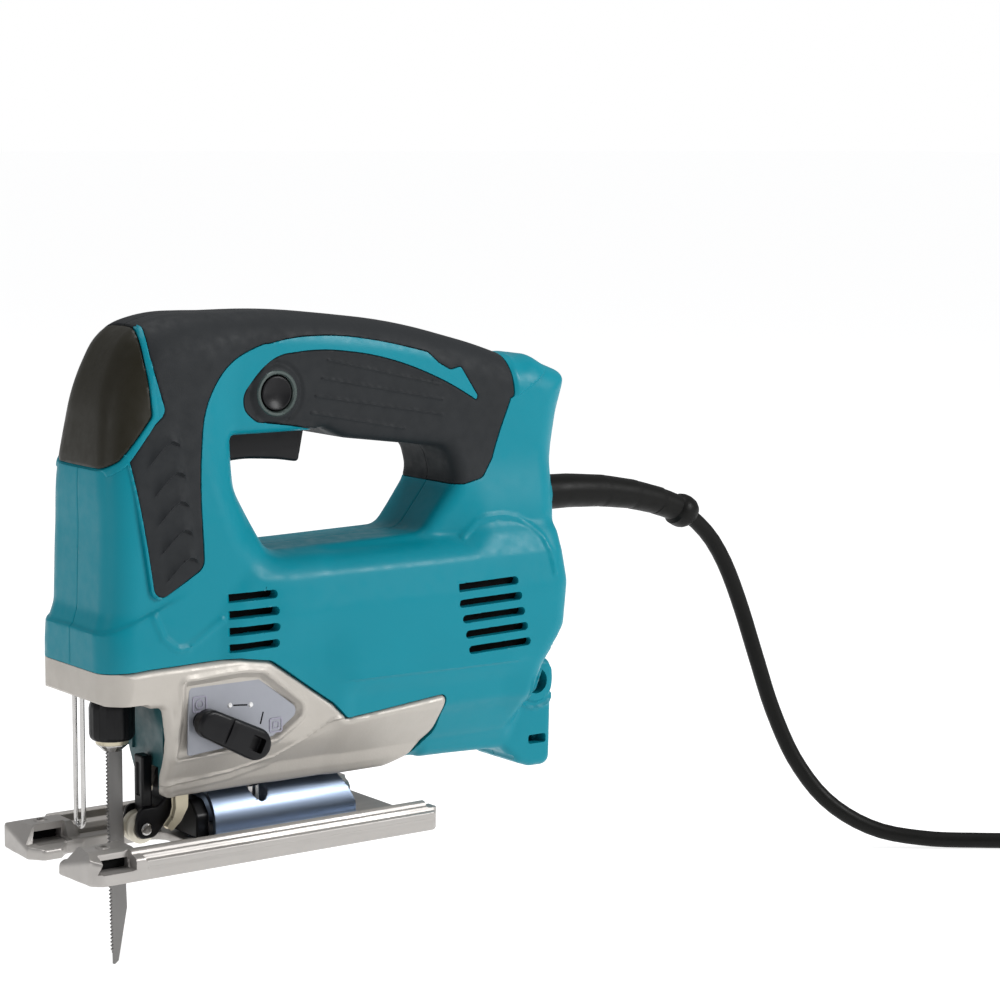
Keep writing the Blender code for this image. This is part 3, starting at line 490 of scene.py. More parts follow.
def make_materials():
    """Finishes by the short names that the pieces use."""
    return {
        "teal": surface("teal_plastic", (0.0005, 0.21, 0.275), 0.40, grain=1300, depth=0.00002, mottle=0.04,
                        specular=0.2),
        "rubber": surface("grip_rubber", (0.015, 0.017, 0.019), 0.62, grain=1700, depth=0.00006, mottle=0.12,
                          specular=0.2),
        "cap": surface("cap_gloss", (0.014, 0.012, 0.006), 0.42, grain=900, depth=0.00001, specular=0.28),
        "black": surface("black_plastic", (0.004, 0.004, 0.005), 0.36, grain=1500, depth=0.00003, mottle=0.15,
                         specular=0.22),
        "dark_teal": surface("dark_teal_plastic", (0.012, 0.075, 0.085), 0.45),
        "cast": surface("cast_metal", (0.46, 0.43, 0.39), 0.46, 0.35, grain=900, depth=0.00007, mottle=0.05),
        "shoe": surface("shoe_metal", (0.42, 0.40, 0.38), 0.42, 0.6, grain=700, depth=0.00005, mottle=0.06,
                        stretch=(0.12, 1, 1)),
        "zinc": surface("zinc_steel", (0.19, 0.235, 0.31), 0.36, 0.95, grain=600, depth=0.00002,
                        stretch=(0.06, 1, 1)),
        "steel": surface("bright_steel", (0.50, 0.49, 0.48), 0.24, 1.0, grain=900, depth=0.00001),
        "blade": surface("blade_steel", (0.21, 0.205, 0.20), 0.42, 0.8, grain=500, depth=0.00004,
                         stretch=(1, 1, 0.08), mottle=0.14),
        "ring": surface("collet_ring", (0.62, 0.56, 0.42), 0.35, 0.6),
        "pale_rim": surface("roller_rim", (0.66, 0.62, 0.52), 0.35, 0.55),
        "laminate": surface("laminations", (0.15, 0.15, 0.16), 0.45, 0.6, grain=1400, depth=0.0001,
                            stretch=(1, 0.02, 0.02)),
        "copper": surface("copper_bars", (0.62, 0.25, 0.11), 0.3, 1.0),
        "brass": surface("drawn_brass", (0.62, 0.44, 0.17), 0.28, 1.0),
        "carbon": surface("carbon_block", (0.03, 0.03, 0.03), 0.7),
        "cord": surface("cord_rubber", (0.006, 0.006, 0.0055), 0.45, grain=1200, depth=0.00005, mottle=0.2,
                        specular=0.12),
        # raised ring round the lock button; its grey-green tone is a painted highlight of the button's bevel
        "collar": surface("button_collar_highlight", (0.06, 0.08, 0.075), 0.28, 0.3),
        "pale": surface("pale_print", (0.30, 0.29, 0.36), 0.5),
        "plate": surface("dial_plate", (0.30, 0.31, 0.345), 0.42, 0.35, mottle=0.04),
        "bright": surface("bright_mark", (0.8, 0.8, 0.8), 0.3, 0.3),
        # black for painted shade (sheets behind the air slots and in the rule slots) and for the dial's
        # printed lines
        "dark": surface("shade_and_print_black", (0.004, 0.004, 0.004), 0.8, specular=0.1),
    }


MATERIAL = make_materials()
SLOT_FINISH = {
    "teal_shell": "teal", "grip_rubber": "rubber", "cap_gloss": "cap", "black_plastic": "black",
    "dark_teal": "dark_teal", "cast_metal": "cast", "shoe_metal": "shoe", "zinc_steel": "zinc",
    "steel": "steel", "blade_steel": "blade", "laminate": "laminate", "copper": "copper",
    "brass": "brass", "carbon": "carbon", "cord_rubber": "cord",
}


def finish_cad_nodes():
    """Better materials on every CAD piece that stays."""
    for entry in frame["record"]["subparts"]:
        node = frame["nodes"][entry["node"]]
        node = node if hasattr(node, "data") else bpy.data.objects[entry["node"]]
        finish = MATERIAL[SLOT_FINISH[entry["material_slot"]]]
        if not node.material_slots:
            node.data.materials.append(finish)
        for slot in node.material_slots:
            slot.material = finish


# ---- pieces ----
def add_piece(name, mesh, material, body="housing", replaces=None):
    """Object for the mesh, riding on a CAD body and taking the place of a CAD node."""
    mesh.materials.clear()
    mesh.materials.append(MATERIAL[material])
    piece = bpy.data.objects.new(name, mesh)
    bpy.context.scene.collection.objects.link(piece)
    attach(piece, body)
    if replaces:
        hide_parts(replaces)
    return piece


# ---- the tool's outer form ----
loop_side = Outline(LOOP, 1.2)
nose_side = Outline(NOSE, 1.0)
motor_side = Outline(MOTOR, 1.0)
window_side = Outline(WINDOW, 0.6)
lobe_side = Outline(LOBE, 0.6)
section_side = Outline(((-8, 21.5, 0), (15.2, 21.5, 3), (17.4, 26.5, 3), (18.9, 31.5, 3), (22.6, 36.8, 6),
                        (30.2, 47.5, 8), (32.8, 63.5, 1.5), (33.2, 70, 20), (33.0, 92, 25), (30.5, 106, 15),
                        (26, 118, 8), (-8, 122, 0)))
casting_side = Outline(CASTING)
bumper_side = Outline(BUMPER)
pad_side = Outline(PAD)
band_side = Outline(TOP_BAND)
rear_side = Outline(REAR_GRIP)
panel_side = Outline(SIDE_PANEL)


def slimmer(x, z):
    """How much narrower the sides are towards the nose."""
    return 2.8 * (1 - (ramp(x, 96, 122) * ramp(-z, -92, -76)
            + ramp(x, 62, 92) * ramp(z, 76, 92))) * ramp(z, 40, 50)


def hull_field(x, y, z):
    """Section of gear case and motor: flat sides, turned under below the crease."""
    return section_side(np.abs(y) + slimmer(x, z), z)


def body_field(x, y, z):
    """Outer form of nose, handle, rear column and motor housing as one smooth solid."""
    side = np.abs(y)
    handle_half = HANDLE_HALF + 5.0 * ramp(x, 165, 190) * ramp(-z, -150, -115)
    loop = rounded(loop_side(x, z), side - handle_half, 13.0)
    nose_half = NOSE_HALF - 8.5 * ramp(z, 118, 206) + 1.5 * ramp(-z, -99, -80) * ramp(-x, -60, -30)
    nose = rounded(nose_side(x, z), side - nose_half, 12.5)
    motor = rounded(motor_side(x, z), hull_field(x, y, z), 9.0)
    form = melt(melt(loop, nose, 9.0), motor, 5.0)
    lobe = rounded(lobe_side(x, z), side - 16.2, 3.5)
    form = melt(form, lobe, 4.0)
    boss = rounded(x - 231.5, span(y, z - CORD_Z) - 11.3, 2.5)
    form = melt(form, np.where(x > 200, boss, 20.0), 3.0)
    return carve(form, window_side(x, z), 6.0)


def cap_edge(x, y, z):
    """Side outline of the front cap, reaching further back along the middle of the top."""
    return bumper_side(x - 4.5 * np.clip(1 - (y / 21) ** 2, 0, 1) * ramp(z, 166, 200), z)


def crown(y, z):
    """One on the middle of the nose's top, where the teal line runs out."""
    return ramp(y, -13, -7) * ramp(-y, -22, -17) * ramp(z, 186, 192)


def rubber_mask(x, y, z):
    """Negative where the soft grip covers the shell."""
    pad = pad_side(x, z)
    upper = either(band_side(x, z), rear_side(x, z))
    mask = either(pad, upper, panel_side(x, z))
    return both(mask, 2.4 - 2.1 * crown(y, z) - cap_edge(x, y, z))


def along(x, z, points):
    """Distance to an open line through (station, height) points."""
    nearest = np.full(np.shape(x), 1e9)
    for start, end in zip(points, points[1:]):
        edge = (end[0] - start[0], end[1] - start[1])
        share = ((x - start[0]) * edge[0] + (z - start[1]) * edge[1]) / (edge[0] ** 2 + edge[1] ** 2)
        share = np.clip(share, 0, 1)
        gap = (x - start[0] - share * edge[0]) ** 2 + (z - start[1] - share * edge[1]) ** 2
        nearest = either(nearest, gap)
    return np.sqrt(nearest)


def shell_relief(x, y, z):
    """Raised lines, creases and steps of the teal shell, in millimetres outwards."""
    side = np.abs(y)
    relief = np.zeros(np.shape(x))
    crease = 90.2 + 0.39 * np.maximum(0, x - 14) + 0.5 * np.clip(1 - side / 22, 0, 1)
    relief -= 1.0 * ramp(z - crease, -0.5, 1.3) * ramp(-x, -50, -33) * ramp(-z, -150, -125)
    dish = along(x, z, ((32.6, 95.5), (35.8, 87.6), (41.8, 82.9), (46.3, 83.0), (52.6, 86.8), (61, 92)))
    relief += 0.75 * ridge(dish, 2.4) * ramp(side, 16, 22)
    relief += 0.9 * ramp(z - 0.55 * (x - 208.0), 169.6, 170.6) * ramp(x, 203, 206) * ramp(-x, -226, -218)
    arc = along(x, z, ((176, 113.8), (182.6, 119.6), (187, 121), (195, 121.2), (202, 119.6), (208, 116.2),
                       (212.3, 111.6), (215, 105), (216, 97)))
    relief += 0.55 * ridge(arc, 2.0) * ramp(side, 14, 18)
    low = 62.6 - 0.012 * (x - 160)
    relief -= 1.3 * ramp(low - z, 0, 8) * ramp(x, 112, 122) * ramp(-x, -206, -190) * ramp(side, 20, 26)
    lip = ramp(z - low, -0.7, 0.8) * np.exp(-np.maximum(z - low - 0.8, 0) / 5.0)
    relief += 0.8 * lip * ramp(x, 110, 122) * ramp(-x, -206, -190) * ramp(side, 20, 26)
    ring = gap_to(REAR_RING, x, z)
    relief += 0.9 * ramp(-ring, -9.6, -8.6) * ramp(side, 8, 12) * ramp(x, 205, 209)
    relief += 0.7 * ridge(ring - 12.0, 1.3) * ramp(side, 8, 12) * ramp(-z, -58, -50)
    return relief


def slots(x, z, start, rows, length, height, lean, fade):
    """Row of slots with round ends, and how deep each place of them reaches."""
    nearest = np.full(np.shape(x), 1e9)
    for row in range(rows):
        left = start + lean * row + 1.5
        level = height - row * 6.35
        reach = np.clip(x, left, left + length - 3.0)
        nearest = either(nearest, span(x - reach, z - level - 0.022 * (x - left)) - 1.65)
    depth = 12.0 * ramp(x, start + 0.5, start + fade)
    return nearest, depth


def band_field(x, y, z):
    """Raised teal line between cap and grip, and along the front edge of the grip."""
    raw = body_field(x, y, z)
    bumper = cap_edge(x, y, z)
    line = np.abs(bumper - 1.25) - 1.15 + 1.6 * crown(y, z)
    line = both(line, 150.5 - z - 8 * ramp(x, 17, 20))
    pad = np.abs(pad_side(x, z) - 0.55) - 0.55
    pad = both(pad, x - 36.0 - 0.1 * (z - 100), 102.5 - z, z - 156.5)
    pad = both(pad, 12.0 - np.abs(y))
    strip = rounded(either(line, pad), raw - 0.55, 0.6)
    return both(strip, -(raw + 1.6))


SCREW_BORE = 3.4
BORES = ((24, 94), (216, 100), (166, 36), TOP_SCREW)


def shell_half(side_sign):
    """Field of one clamshell of the housing."""
    def field(x, y, z):
        raw = body_field(x, y, z)
        cover = either(rubber_mask(x, y, z), cap_edge(x, y, z))
        solid = both(raw - shell_relief(x, y, z), -(cover - 0.22))
        solid = either(solid, raw + SKIN + 0.2)
        solid = cut(solid, raw + 5.2)
        bay = span(y, z - MOTOR_Z) - 25.5 - 4.5 * ramp(x, 104, 112)
        bay = both(bay, 66 - x, x - 218)
        seam = casting_side(x, z) - 0.25
        trigger_bay = block_field(x, y, z, (71.5, -8, 140), (113.5, 8, 185), 1.0)
        solid = cut(solid, bay, np.where(x > 9, seam, x - 60), trigger_bay)
        solid = both(solid, np.where(x < 60, 68 - z, -50))
        for start, rows, length, height, lean, fade in ((62.5, 4, 21.5, 100.0, 0.3, 9.0),
                                                        (166.6, 5, 30.5, 94.8, 1.45, 8.5)):
            flat, depth = slots(x, z, start, rows, length, height, lean, fade)
            solid = cut(solid, both(flat, -(raw + depth)))
        rear = span(np.maximum(np.abs(y) - 9, 0), np.abs((z - 80) % 7.0 - 3.5)) - 1.4
        rear = both(rear, np.abs(z - 83.5) - 10.4, 214 - x)
        exit_hole = both(span(y, z - CORD_Z) - 8.3, 215 - x)
        lock = both(gap_to(LOCK, x, z) - 7.5, y)
        boss = both(span(x - REAR_RING[0], z - 49) - 5.2, 9.5 - side_sign * y)
        slot = block_field(x, np.abs(y), z, (215, 9, 22.5), (224, 30, 26.3), 1.2)
        notch = block_field(x, y, z, (196, -30, 5), (209, 30, 19), 3.0)
        solid = cut(solid, both(rear, -(raw + 9)), exit_hole, lock, boss, slot, notch)
        if side_sign > 0:
            for spot in BORES:
                bore = gap_to(spot, x, z)
                solid = cut(solid, both(bore - SCREW_BORE - 0.4, -(raw + 4.5)))
        return both(solid, 0.15 - side_sign * y)
    return field


def pad_relief(x, y, z):
    """Ribs and arched ridges of the soft grip."""
    side = np.abs(y)
    relief = np.zeros(np.shape(x))
    for tip_x, tip_z in ((41.9, 160.3), (43.3, 148.8), (44.0, 138.0), (45.2, 127.3), (47.3, 116.8)):
        u = x - tip_x
        line = tip_z - np.where(u < 0, 0.038 * u ** 2 - 0.55 * u, 0.14 * u ** 2)
        rise = z - line
        fade = ramp(x, tip_x - 11.0, tip_x - 6.0) * ramp(-x, -tip_x - 5.0, -tip_x - 2.5)
        shape = ramp(rise, -0.6, 0.6) * np.exp(-np.maximum(rise - 0.6, 0) / 2.6)
        relief += 1.35 * shape * fade * ramp(side, 12, 18)
    for start, end in (((114.7, 187.0), (167.4, 175.1)), ((111.9, 180.2), (168.4, 169.1)),
                       ((109.1, 173.3), (168.4, 163.1)), ((107.0, 167.0), (150.0, 158.5))):
        relief += 0.45 * ridge(along(x, z, (start, end)), 0.9) * ramp(side, 10, 14)
    lock = gap_to(LOCK, x, z)
    relief += np.where(y < 0, 1.0 * ramp(-lock, -11.0, -8.6) - 0.5 * ridge(lock - 11.6, 1.6), 0)
    panel = panel_side(x, z)
    relief -= 0.5 * ramp(-panel, -0.2, 2.5) * ramp(-x, -186, -160)
    return relief


def grip_half(side_sign):
    """Field of one side of the soft grip."""
    def field(x, y, z):
        raw = body_field(x, y, z)
        mask = rubber_mask(x, y, z)
        relief = pad_relief(x, y, z)
        skin = rounded(mask, raw - relief, 0.7)
        skin = cut(skin, raw + SKIN)
        skin = cut(skin, block_field(x, y, z, (70, -8.6, 138), (114, 8.6, 184), 1.0))
        lock = gap_to(LOCK, x, z) - 7.7
        skin = cut(skin, both(lock, y))
        exit_hole = np.where(side_sign > 0, gap_to(TOP_SCREW, x, z) - 3.9, 9.0)
        skin = cut(skin, exit_hole)
        return both(skin, 0.12 - side_sign * y)
    return field


def bumper_field(x, y, z):
    """Glossy cap over the front corner of the handle."""
    raw = body_field(x, y, z)
    facet = 0.5 * ramp(x - 0.35 * (z - 160), 12.5, 14.0) * ramp(np.abs(y), 12, 18)
    cap = rounded(cap_edge(x, y, z) + 0.1, raw + 0.1 - 0.25 * facet, 1.0)
    return both(cap, -(raw + SKIN))


# Crease along the side of the gear case, from front to back.
CREASE_X = (30, 44, 70, 88, 98.5, 110, 118, 170)
CREASE_Z = (27.5, 28.5, 30.5, 34.4, 40.2, 47.5, 48.5, 49)


def casting_field(x, y, z):
    """Cast gear case: side outline on the hull's section, rim, selector recess and bores."""
    side = np.abs(y)
    crease = np.interp(x, CREASE_X, CREASE_Z)
    under = 0.8 * ramp(crease - z, -0.5, 0.7) * ramp(-x, -122, -112)
    under -= 0.45 * ridge(z - crease - 0.6, 1.2) * ramp(-x, -122, -112)
    under += 0.35 * ramp(crease - 3.4 - z, -0.4, 0.5) * ramp(-x, -96, -84)
    hull = hull_field(x, y, z)
    solid = rounded(casting_side(x, z), hull + under, 3.0)
    corner = span(np.maximum(side - 18.2, 0), np.maximum(25.0 - x, 0)) - 12.4
    corner = both(corner, 12.4 - x)
    chin = (61.4 - z) * 0.75 + (16.6 - x) * 0.66
    solid = both(solid, np.where(x < 26, both(rounded(corner, 60 - z, 1.0), chin), -9.0))
    front = np.interp(z, (22, 25.6, 29.4, 36.5, 41.7, 48.2, 59), (45.2, 42.0, 41.4, 40.6, 39.5, 38.9, 36.4))
    lift = 58.0 + 5.8 * ramp(side, 12, 23) * ramp(-x, -35, -28)
    solid = both(solid, np.where(x < 35, lift - z, -9.0))
    rim = ridge(x - front - 1.8, 3.4) * ramp(-z, -64, -58) * ramp(side, 9, 15)
    solid = solid - 0.5 * rim
    recess = recess_side(x, z)
    left = ramp(side, 23, 26) * (y < 0)
    solid = solid - 0.7 * ridge(recess - 1.0, 1.9) * left
    solid = solid + np.clip(-recess * 0.9, 0, 1.9) * left
    rooms = [block_field(x, y, z, low, high, radius) for low, high, radius in (
        ((56.5, -19, 40), (150, 19, 90), 1.0), ((56.5, -24, 55), (150, 24, 90), 1.0),
        ((18, -24, 66), (60, 24, 90), 1.0), ((20, -12, 5), (47, 12, 61.2), 1.0),
        ((20, -6.6, 12), (61, 6.6, 33.5), 0.5))]
    mouth = rounded(both(20 - x, x - 47.0, z - 61.2), hull + 3.3, 2.0)
    motor = both(span(y, z - MOTOR_Z) - 26.5, 140 - x)
    rod = both(span(y, x - STROKE_X) - 9.6, 50 - z, z - 80)
    bolt = both(span(y, x - BOLT_X) - 3.3, z - 35)
    saddle = both(span(y, z - TILT_Z) - 15.0, 40 - x)
    cam = both(gap_to(CAM, x, z) - 3.9, y - 22.4)
    relieved = rounded(both(9.3 + (z - 22.5) * 0.57 - y, z - 39), x - 51.5, 3.0)
    return cut(solid, *rooms, mouth, motor, rod, bolt, saddle, cam, relieved)


recess_side = Outline(((42.5, 39.6, 2), (85.4, 43.2, 4), (99.5, 53.6, 4), (78.2, 70.4, 5), (69, 71.4, 6),
                       (44, 70.4, 2)))
trigger_side = Outline(TRIGGER)


def trigger_field(x, y, z):
    """Switch lever with a shallow dish for the finger."""
    dish = 0.5 * ramp(-z, -152, -148.5)
    return rounded(trigger_side(x, z), np.abs(y) - 7.2 + dish, 1.6)


def lever_field(x, y, z):
    """Selector arm: a tapered grip that rises from the hub to a square-pocketed tip."""
    slope = math.radians(-27)
    u = (x - CAM[0]) * math.cos(slope) + (z - CAM[1]) * math.sin(slope)
    v = -(x - CAM[0]) * math.sin(slope) + (z - CAM[1]) * math.cos(slope)
    reach = np.clip(u, 0, 21)
    flat = span(u - reach, v) - (5.6 + 0.03 * reach)
    outer = -39.0 + 0.10 * np.maximum(0, 10 - u) + 0.02 * v ** 2
    arm = rounded(flat, both(y + 31.7, outer - y), 1.5)
    step = block_field(u, y, v, (6.4, -41, -7), (7.6, -37.9, 7), 0.2)
    arm = cut(arm, np.where(u > 0, step, 9))
    socket = block_field(u, y, v, (17.6, -42, -2.9), (23.6, -35.6, 2.9), 0.7)
    hub = both(gap_to(CAM, x, z) - 3.6, y + 22, -31.5 - y)
    return either(both(arm, -socket), hub)


def shoe_field(x, y, z):
    """Cast shoe: plate, two moulded rails, forked front with a rule slot through each leg."""
    side = np.abs(y)
    plan = shoe_plan(x, y)
    plate = both(plan, -z, z - 3.1)
    rail = both(rail_section(side, z), 17.5 - x, x - 155.0)
    front = 3.2 + 0.19 * (side - 7) + 1.15 * x
    inner = 5.0 + 0.12 * (side - 15.5) + 2.0 * np.maximum(side - 15.5, 0)
    outer = 11.2 - 0.30 * (side - 29.5)
    back = 11.2 + 2.4 * (21.3 - x)
    top = either(front, inner, outer, back, 11.2)
    leg = both((z - top) * 0.6, -z, x - 23.5, 6.0 - side)
    ledge = both(z - 5.4, -z, 12.0 - side, side - 16.5, x - 57.0)
    ledge = both(ledge, 15.5 - x)
    solid = either(plate, rail, leg, ledge)
    solid = rounded(plan, solid, 0.8)
    window = block_field(x, side, z, (4.6, 13.0, 4.3), (17.8, 45.0, 8.4), 0.3)
    notch = both(3.0 - x + 0.45 * (z - 4.6), x - 18.4, 31.0 - side, 4.6 - z)
    notch = both(notch, 33.5 - side - 0.25 * (z - 4))
    well = both(3.0 - x + 0.4 * (z - 4.6), x - 18.4, side - 20.2, 5.0 - z)
    screw = span(x - 11.5, side - 25.2)
    solid = cut(solid, window, notch, well, both(screw - 1.5, 9.0 - z))
    collar = rounded(np.abs(screw - 2.0) - 0.5, z - 11.7, 0.3)
    solid = either(solid, both(collar, 9.5 - z))
    step = both(150.5 - x, 8.8 - z)
    key = span(x - BOLT_X, y) - 6.0
    return cut(solid, step, key)


shoe_plan = Outline(((-0.4, -13.0, 1.5), (0.8, -35.0, 4.0), (4.5, -38.5, 4.0), (152, -38.5, 2.0),
                     (155, -35.5, 2.0), (155, 35.5, 2.0), (152, 38.5, 2.0), (4.5, 38.5, 4.0),
                     (0.8, 35.0, 4.0),
                     (-0.4, 13.0, 1.5), (4.0, 7.4, 1.8), (11.7, 7.4, 2.0), (16.0, 12.0, 2.5), (57, 12.0, 6),
                     (57, -12.0, 6), (16.0, -12.0, 2.5), (11.7, -7.4, 2.0), (4.0, -7.4, 1.8)), cell=0.4,
                    margin=16)


rail_section = Outline(((26.4, 1.0, 0), (26.4, 4.6, 1.0), (28.0, 6.6, 1.2), (30.2, 7.6, 0.6),
        (30.8, 10.4, 0.9),
                        (32.6, 11.3, 1.3), (34.4, 10.6, 0.9), (34.9, 9.3, 0.4), (36.2, 9.3, 0.5),
                        (36.8, 7.6, 0.3),
                        (38.5, 7.2, 0.7), (38.5, 5.2, 0.2), (38.1, 4.9, 0.2), (38.1, 4.4, 0.2),
                        (38.5, 4.1, 0.2),
                        (38.5, 0, 0.9), (26.4, 0, 0)), cell=0.2, margin=14)
fork_side = Outline(((36.6, 13.4, 4), (36.6, 5.9, 3.9), (44.5, 5.9, 3.9), (56.6, 19.4, 3), (58.6, 31.1, 3),
                     (51.8, 31.1, 3), (49.2, 21.0, 4), (45.5, 18.0, 2), (38.0, 18.0, 3)),
                     cell=0.25, margin=14)


def fork_field(x, y, z):
    """Roller fork: two round cheeks joined behind the wheel, a slim arm and a pivot boss."""
    side = np.abs(y)
    cheeks = rounded(fork_side(x, z), side - 5.8, 0.8)
    wheel = gap_to(ROLLER, x, z)
    cheeks = cut(cheeks, both(wheel - 8.2, side - 4.1))
    arm = block_field(x, y, z, (40.4, -3.3, 15), (44.8, 3.3, 37.8), 0.8)
    arm = cut(arm, block_field(x, y, z, (39.5, -1.3, 22), (41.0, 1.3, 35), 0.3))
    arm = either(cheeks, arm)
    boss = gap_to(FORK_PIVOT, x, z)
    arm = either(arm, rounded(boss - 4.2, side - 6.2, 0.5))
    for hole in (wheel - 2.45, boss - 1.85):
        arm = cut(arm, hole)
    return arm


def bracket_field(x, y, z):
    """Half-round sheet bracket on feet, slotted along its arc for the bolt."""
    side = np.abs(y)
    bend = span(y, z - TILT_Z)
    arch = np.abs(bend - 13.5) - 1.1
    arch = np.where(z > 9, arch, np.abs(side - 13.5) - 1.1)
    rear = 130.4 - 0.45 * np.maximum(0, z - 10)
    arch = both(arch, 3.4 - z, 66.0 - x, x - rear)
    foot = both(side - 24.8, 13.0 - side, 3.35 - z, z - 5.2)
    foot = both(foot, 66.0 - x, x - 138.0)
    corner = span(np.maximum(side - 21.8, 0), np.maximum(x - 135.0, 0)) - 3.0
    foot = both(foot, corner)
    blend = melt(arch, foot, 1.6)
    slot = span(x - BOLT_X, np.maximum(side - 8.7, 0)) - 4.2
    slot = both(slot, 12 - z)
    return both(blend, -slot, 3.35 - z)


def guard_field(x, y, z):
    """Splash guard behind the blade, tapering downwards and split to let the fork through."""
    side = np.abs(y)
    bow = 46.2 - 2.6 * ramp(z, 42, 58) * ramp(-side, -20, -8)
    sheet = (np.abs(x - bow) - 0.8) * 0.9
    sheet = both(sheet, hull_field(x, y, z) + 3.6, 22.5 - z, z - 60.9)
    taper = side - np.interp(z, (22, 26, 31, 36, 42, 52), (7.6, 9.6, 12.4, 15.2, 17.8, 22))
    sheet = both(sheet, rounded(taper, 22.5 - z, 1.0))
    sheet = cut(sheet, both(side - 6.8, z - 33.5))
    wing = both(np.abs(hull_field(x, y, z) + 4.1) - 0.6, 40.0 - x, x - 46.9)
    sheet = either(sheet, both(wing, 39.5 - z, z - 60.9))
    for place in (12.0, 18.0):
        rib = both(np.abs(side - place) - 0.5, 44.4 - x, x - 46.2)
        rib = both(rib, 38 - z, z - 56)
        sheet = either(sheet, both(rib, hull_field(x, y, z) + 4.2))
    return sheet


def row(point):
    """Millimetres in station terms to the frame's metres."""
    return Vector(((point[0] - DATUM) * MM, point[1] * MM, point[2] * MM))


def bridge(build, loops):
    """Quads between each loop of vertices and the next."""
    for first, second in zip(loops, loops[1:]):
        for k in range(len(first)):
            build.faces.new((first[k - 1], first[k], second[k], second[k - 1]))


def finished(name, build, material, body="housing", replaces=None, sharp=None):
    """Piece made from a bmesh; edges steeper than sharp degrees stay crisp, the rest is smooth."""
    bmesh.ops.recalc_face_normals(build, faces=build.faces)
    mesh = bpy.data.meshes.new(name)
    build.to_mesh(mesh)
    build.free()
    if sharp:
        mesh.shade_smooth()
        mesh.set_sharp_from_angle(angle=math.radians(sharp))
    return add_piece(name, mesh, material, body, replaces)


def lathe(name, profile, centre, axis, material, body="housing", replaces=None, sides=56, ends=True):
    """Turned piece: profile of (radius, distance along the axis) from one end to the other."""
    build = bmesh.new()
    along_axis = {"x": Vector((1, 0, 0)), "y": Vector((0, 1, 0)), "z": Vector((0, 0, 1))}[axis]
    across = Vector((0, 0, 1)) if axis != "z" else Vector((1, 0, 0))
    third = along_axis.cross(across)
    origin = row(centre)
    loops = []
    for radius, distance in profile:
        if radius <= 0:
            loops.append([build.verts.new(origin + along_axis * distance * MM)])
            continue
        loops.append([build.verts.new(origin + along_axis * distance * MM + (
            across * math.cos(2 * math.pi * k / sides) + third * math.sin(2 * math.pi * k / sides))
            * radius * MM) for k in range(sides)])
    for first, second in zip(loops, loops[1:]):
        for k in range(sides):
            quad = [first[k % len(first)], first[(k + 1) % len(first)],
                    second[(k + 1) % len(second)], second[k % len(second)]]
            face = list(dict.fromkeys(quad))
            if len(face) > 2:
                build.faces.new(face)
    if ends:
        for loop in (loops[0], loops[-1]):
            if len(loop) > 2:
                build.faces.new(loop)
    return finished(name, build, material, body, replaces, 32)


def smooth_path(route, spacing):
    """Points along a Catmull-Rom curve through the route, evenly spaced."""
    points = [Vector(point) for point in route]
    dense = []
    for index in range(len(points) - 1):
        p0 = points[max(index - 1, 0)]
        p1, p2 = points[index], points[index + 1]
        p3 = points[min(index + 2, len(points) - 1)]
        for step in range(40):
            t = step / 40
            dense.append(0.5 * ((2 * p1) + (p2 - p0) * t + (2 * p0 - 5 * p1 + 4 * p2 - p3) * t * t
                                + (3 * p1 - p0 - 3 * p2 + p3) * t ** 3))
    dense.append(points[-1])
    travelled = [0.0]
    for a, b in zip(dense, dense[1:]):
        travelled.append(travelled[-1] + (b - a).length)
    count = max(2, round(travelled[-1] / spacing))
    spots = np.linspace(0, travelled[-1], count + 1)
    table = np.array([tuple(point) for point in dense])
    return [Vector([float(np.interp(spot, travelled, table[:, k])) for k in range(3)]) for spot in spots]


def tube(name, stations, material, body="housing", replaces=None, sides=32):
    """Skin through circles (centre in frame metres, radius in metres) square to their path."""
    build = bmesh.new()
    centres = [Vector(centre) for centre, _ in stations]
    loops = []
    side = None
    for index, (centre, radius) in enumerate(stations):
        ahead = centres[min(index + 1, len(centres) - 1)] - centres[max(index - 1, 0)]
        ahead.normalize()
        if side is None:
            guide = Vector((0, 0, 1)) if abs(ahead.z) < 0.9 else Vector((1, 0, 0))
            side = ahead.cross(guide).normalized()
        side = (side - ahead * side.dot(ahead)).normalized()
        up = side.cross(ahead)
        loops.append([build.verts.new(Vector(centre) + (side * math.cos(2 * math.pi * k / sides)
                      + up * math.sin(2 * math.pi * k / sides)) * radius) for k in range(sides)])
    bridge(build, loops)
    build.faces.new(loops[0])
    build.faces.new(loops[-1])
    return finished(name, build, material, body, replaces, 40)


def profile_plate(name, outline, low, high, bevel, material, body="housing", replaces=None, plane="side"):
    """Flat piece cut to an outline, with bevelled edges; it spans y, or x with plane front."""
    points = fillet(outline)
    rings = [(low, inset(points, bevel)), (low + bevel, points), (high - bevel, points),
             (high, inset(points, bevel))]
    build = bmesh.new()
    loops = []
    for level, ring in rings:
        spots = [(p.x, level, p.y) if plane == "side" else (level, p.x, p.y) for p in ring]
        loops.append([build.verts.new(row(spot)) for spot in spots])
    bridge(build, loops)
    build.faces.new(loops[0])
    build.faces.new(loops[-1])
    return finished(name, build, material, body, replaces, 30)


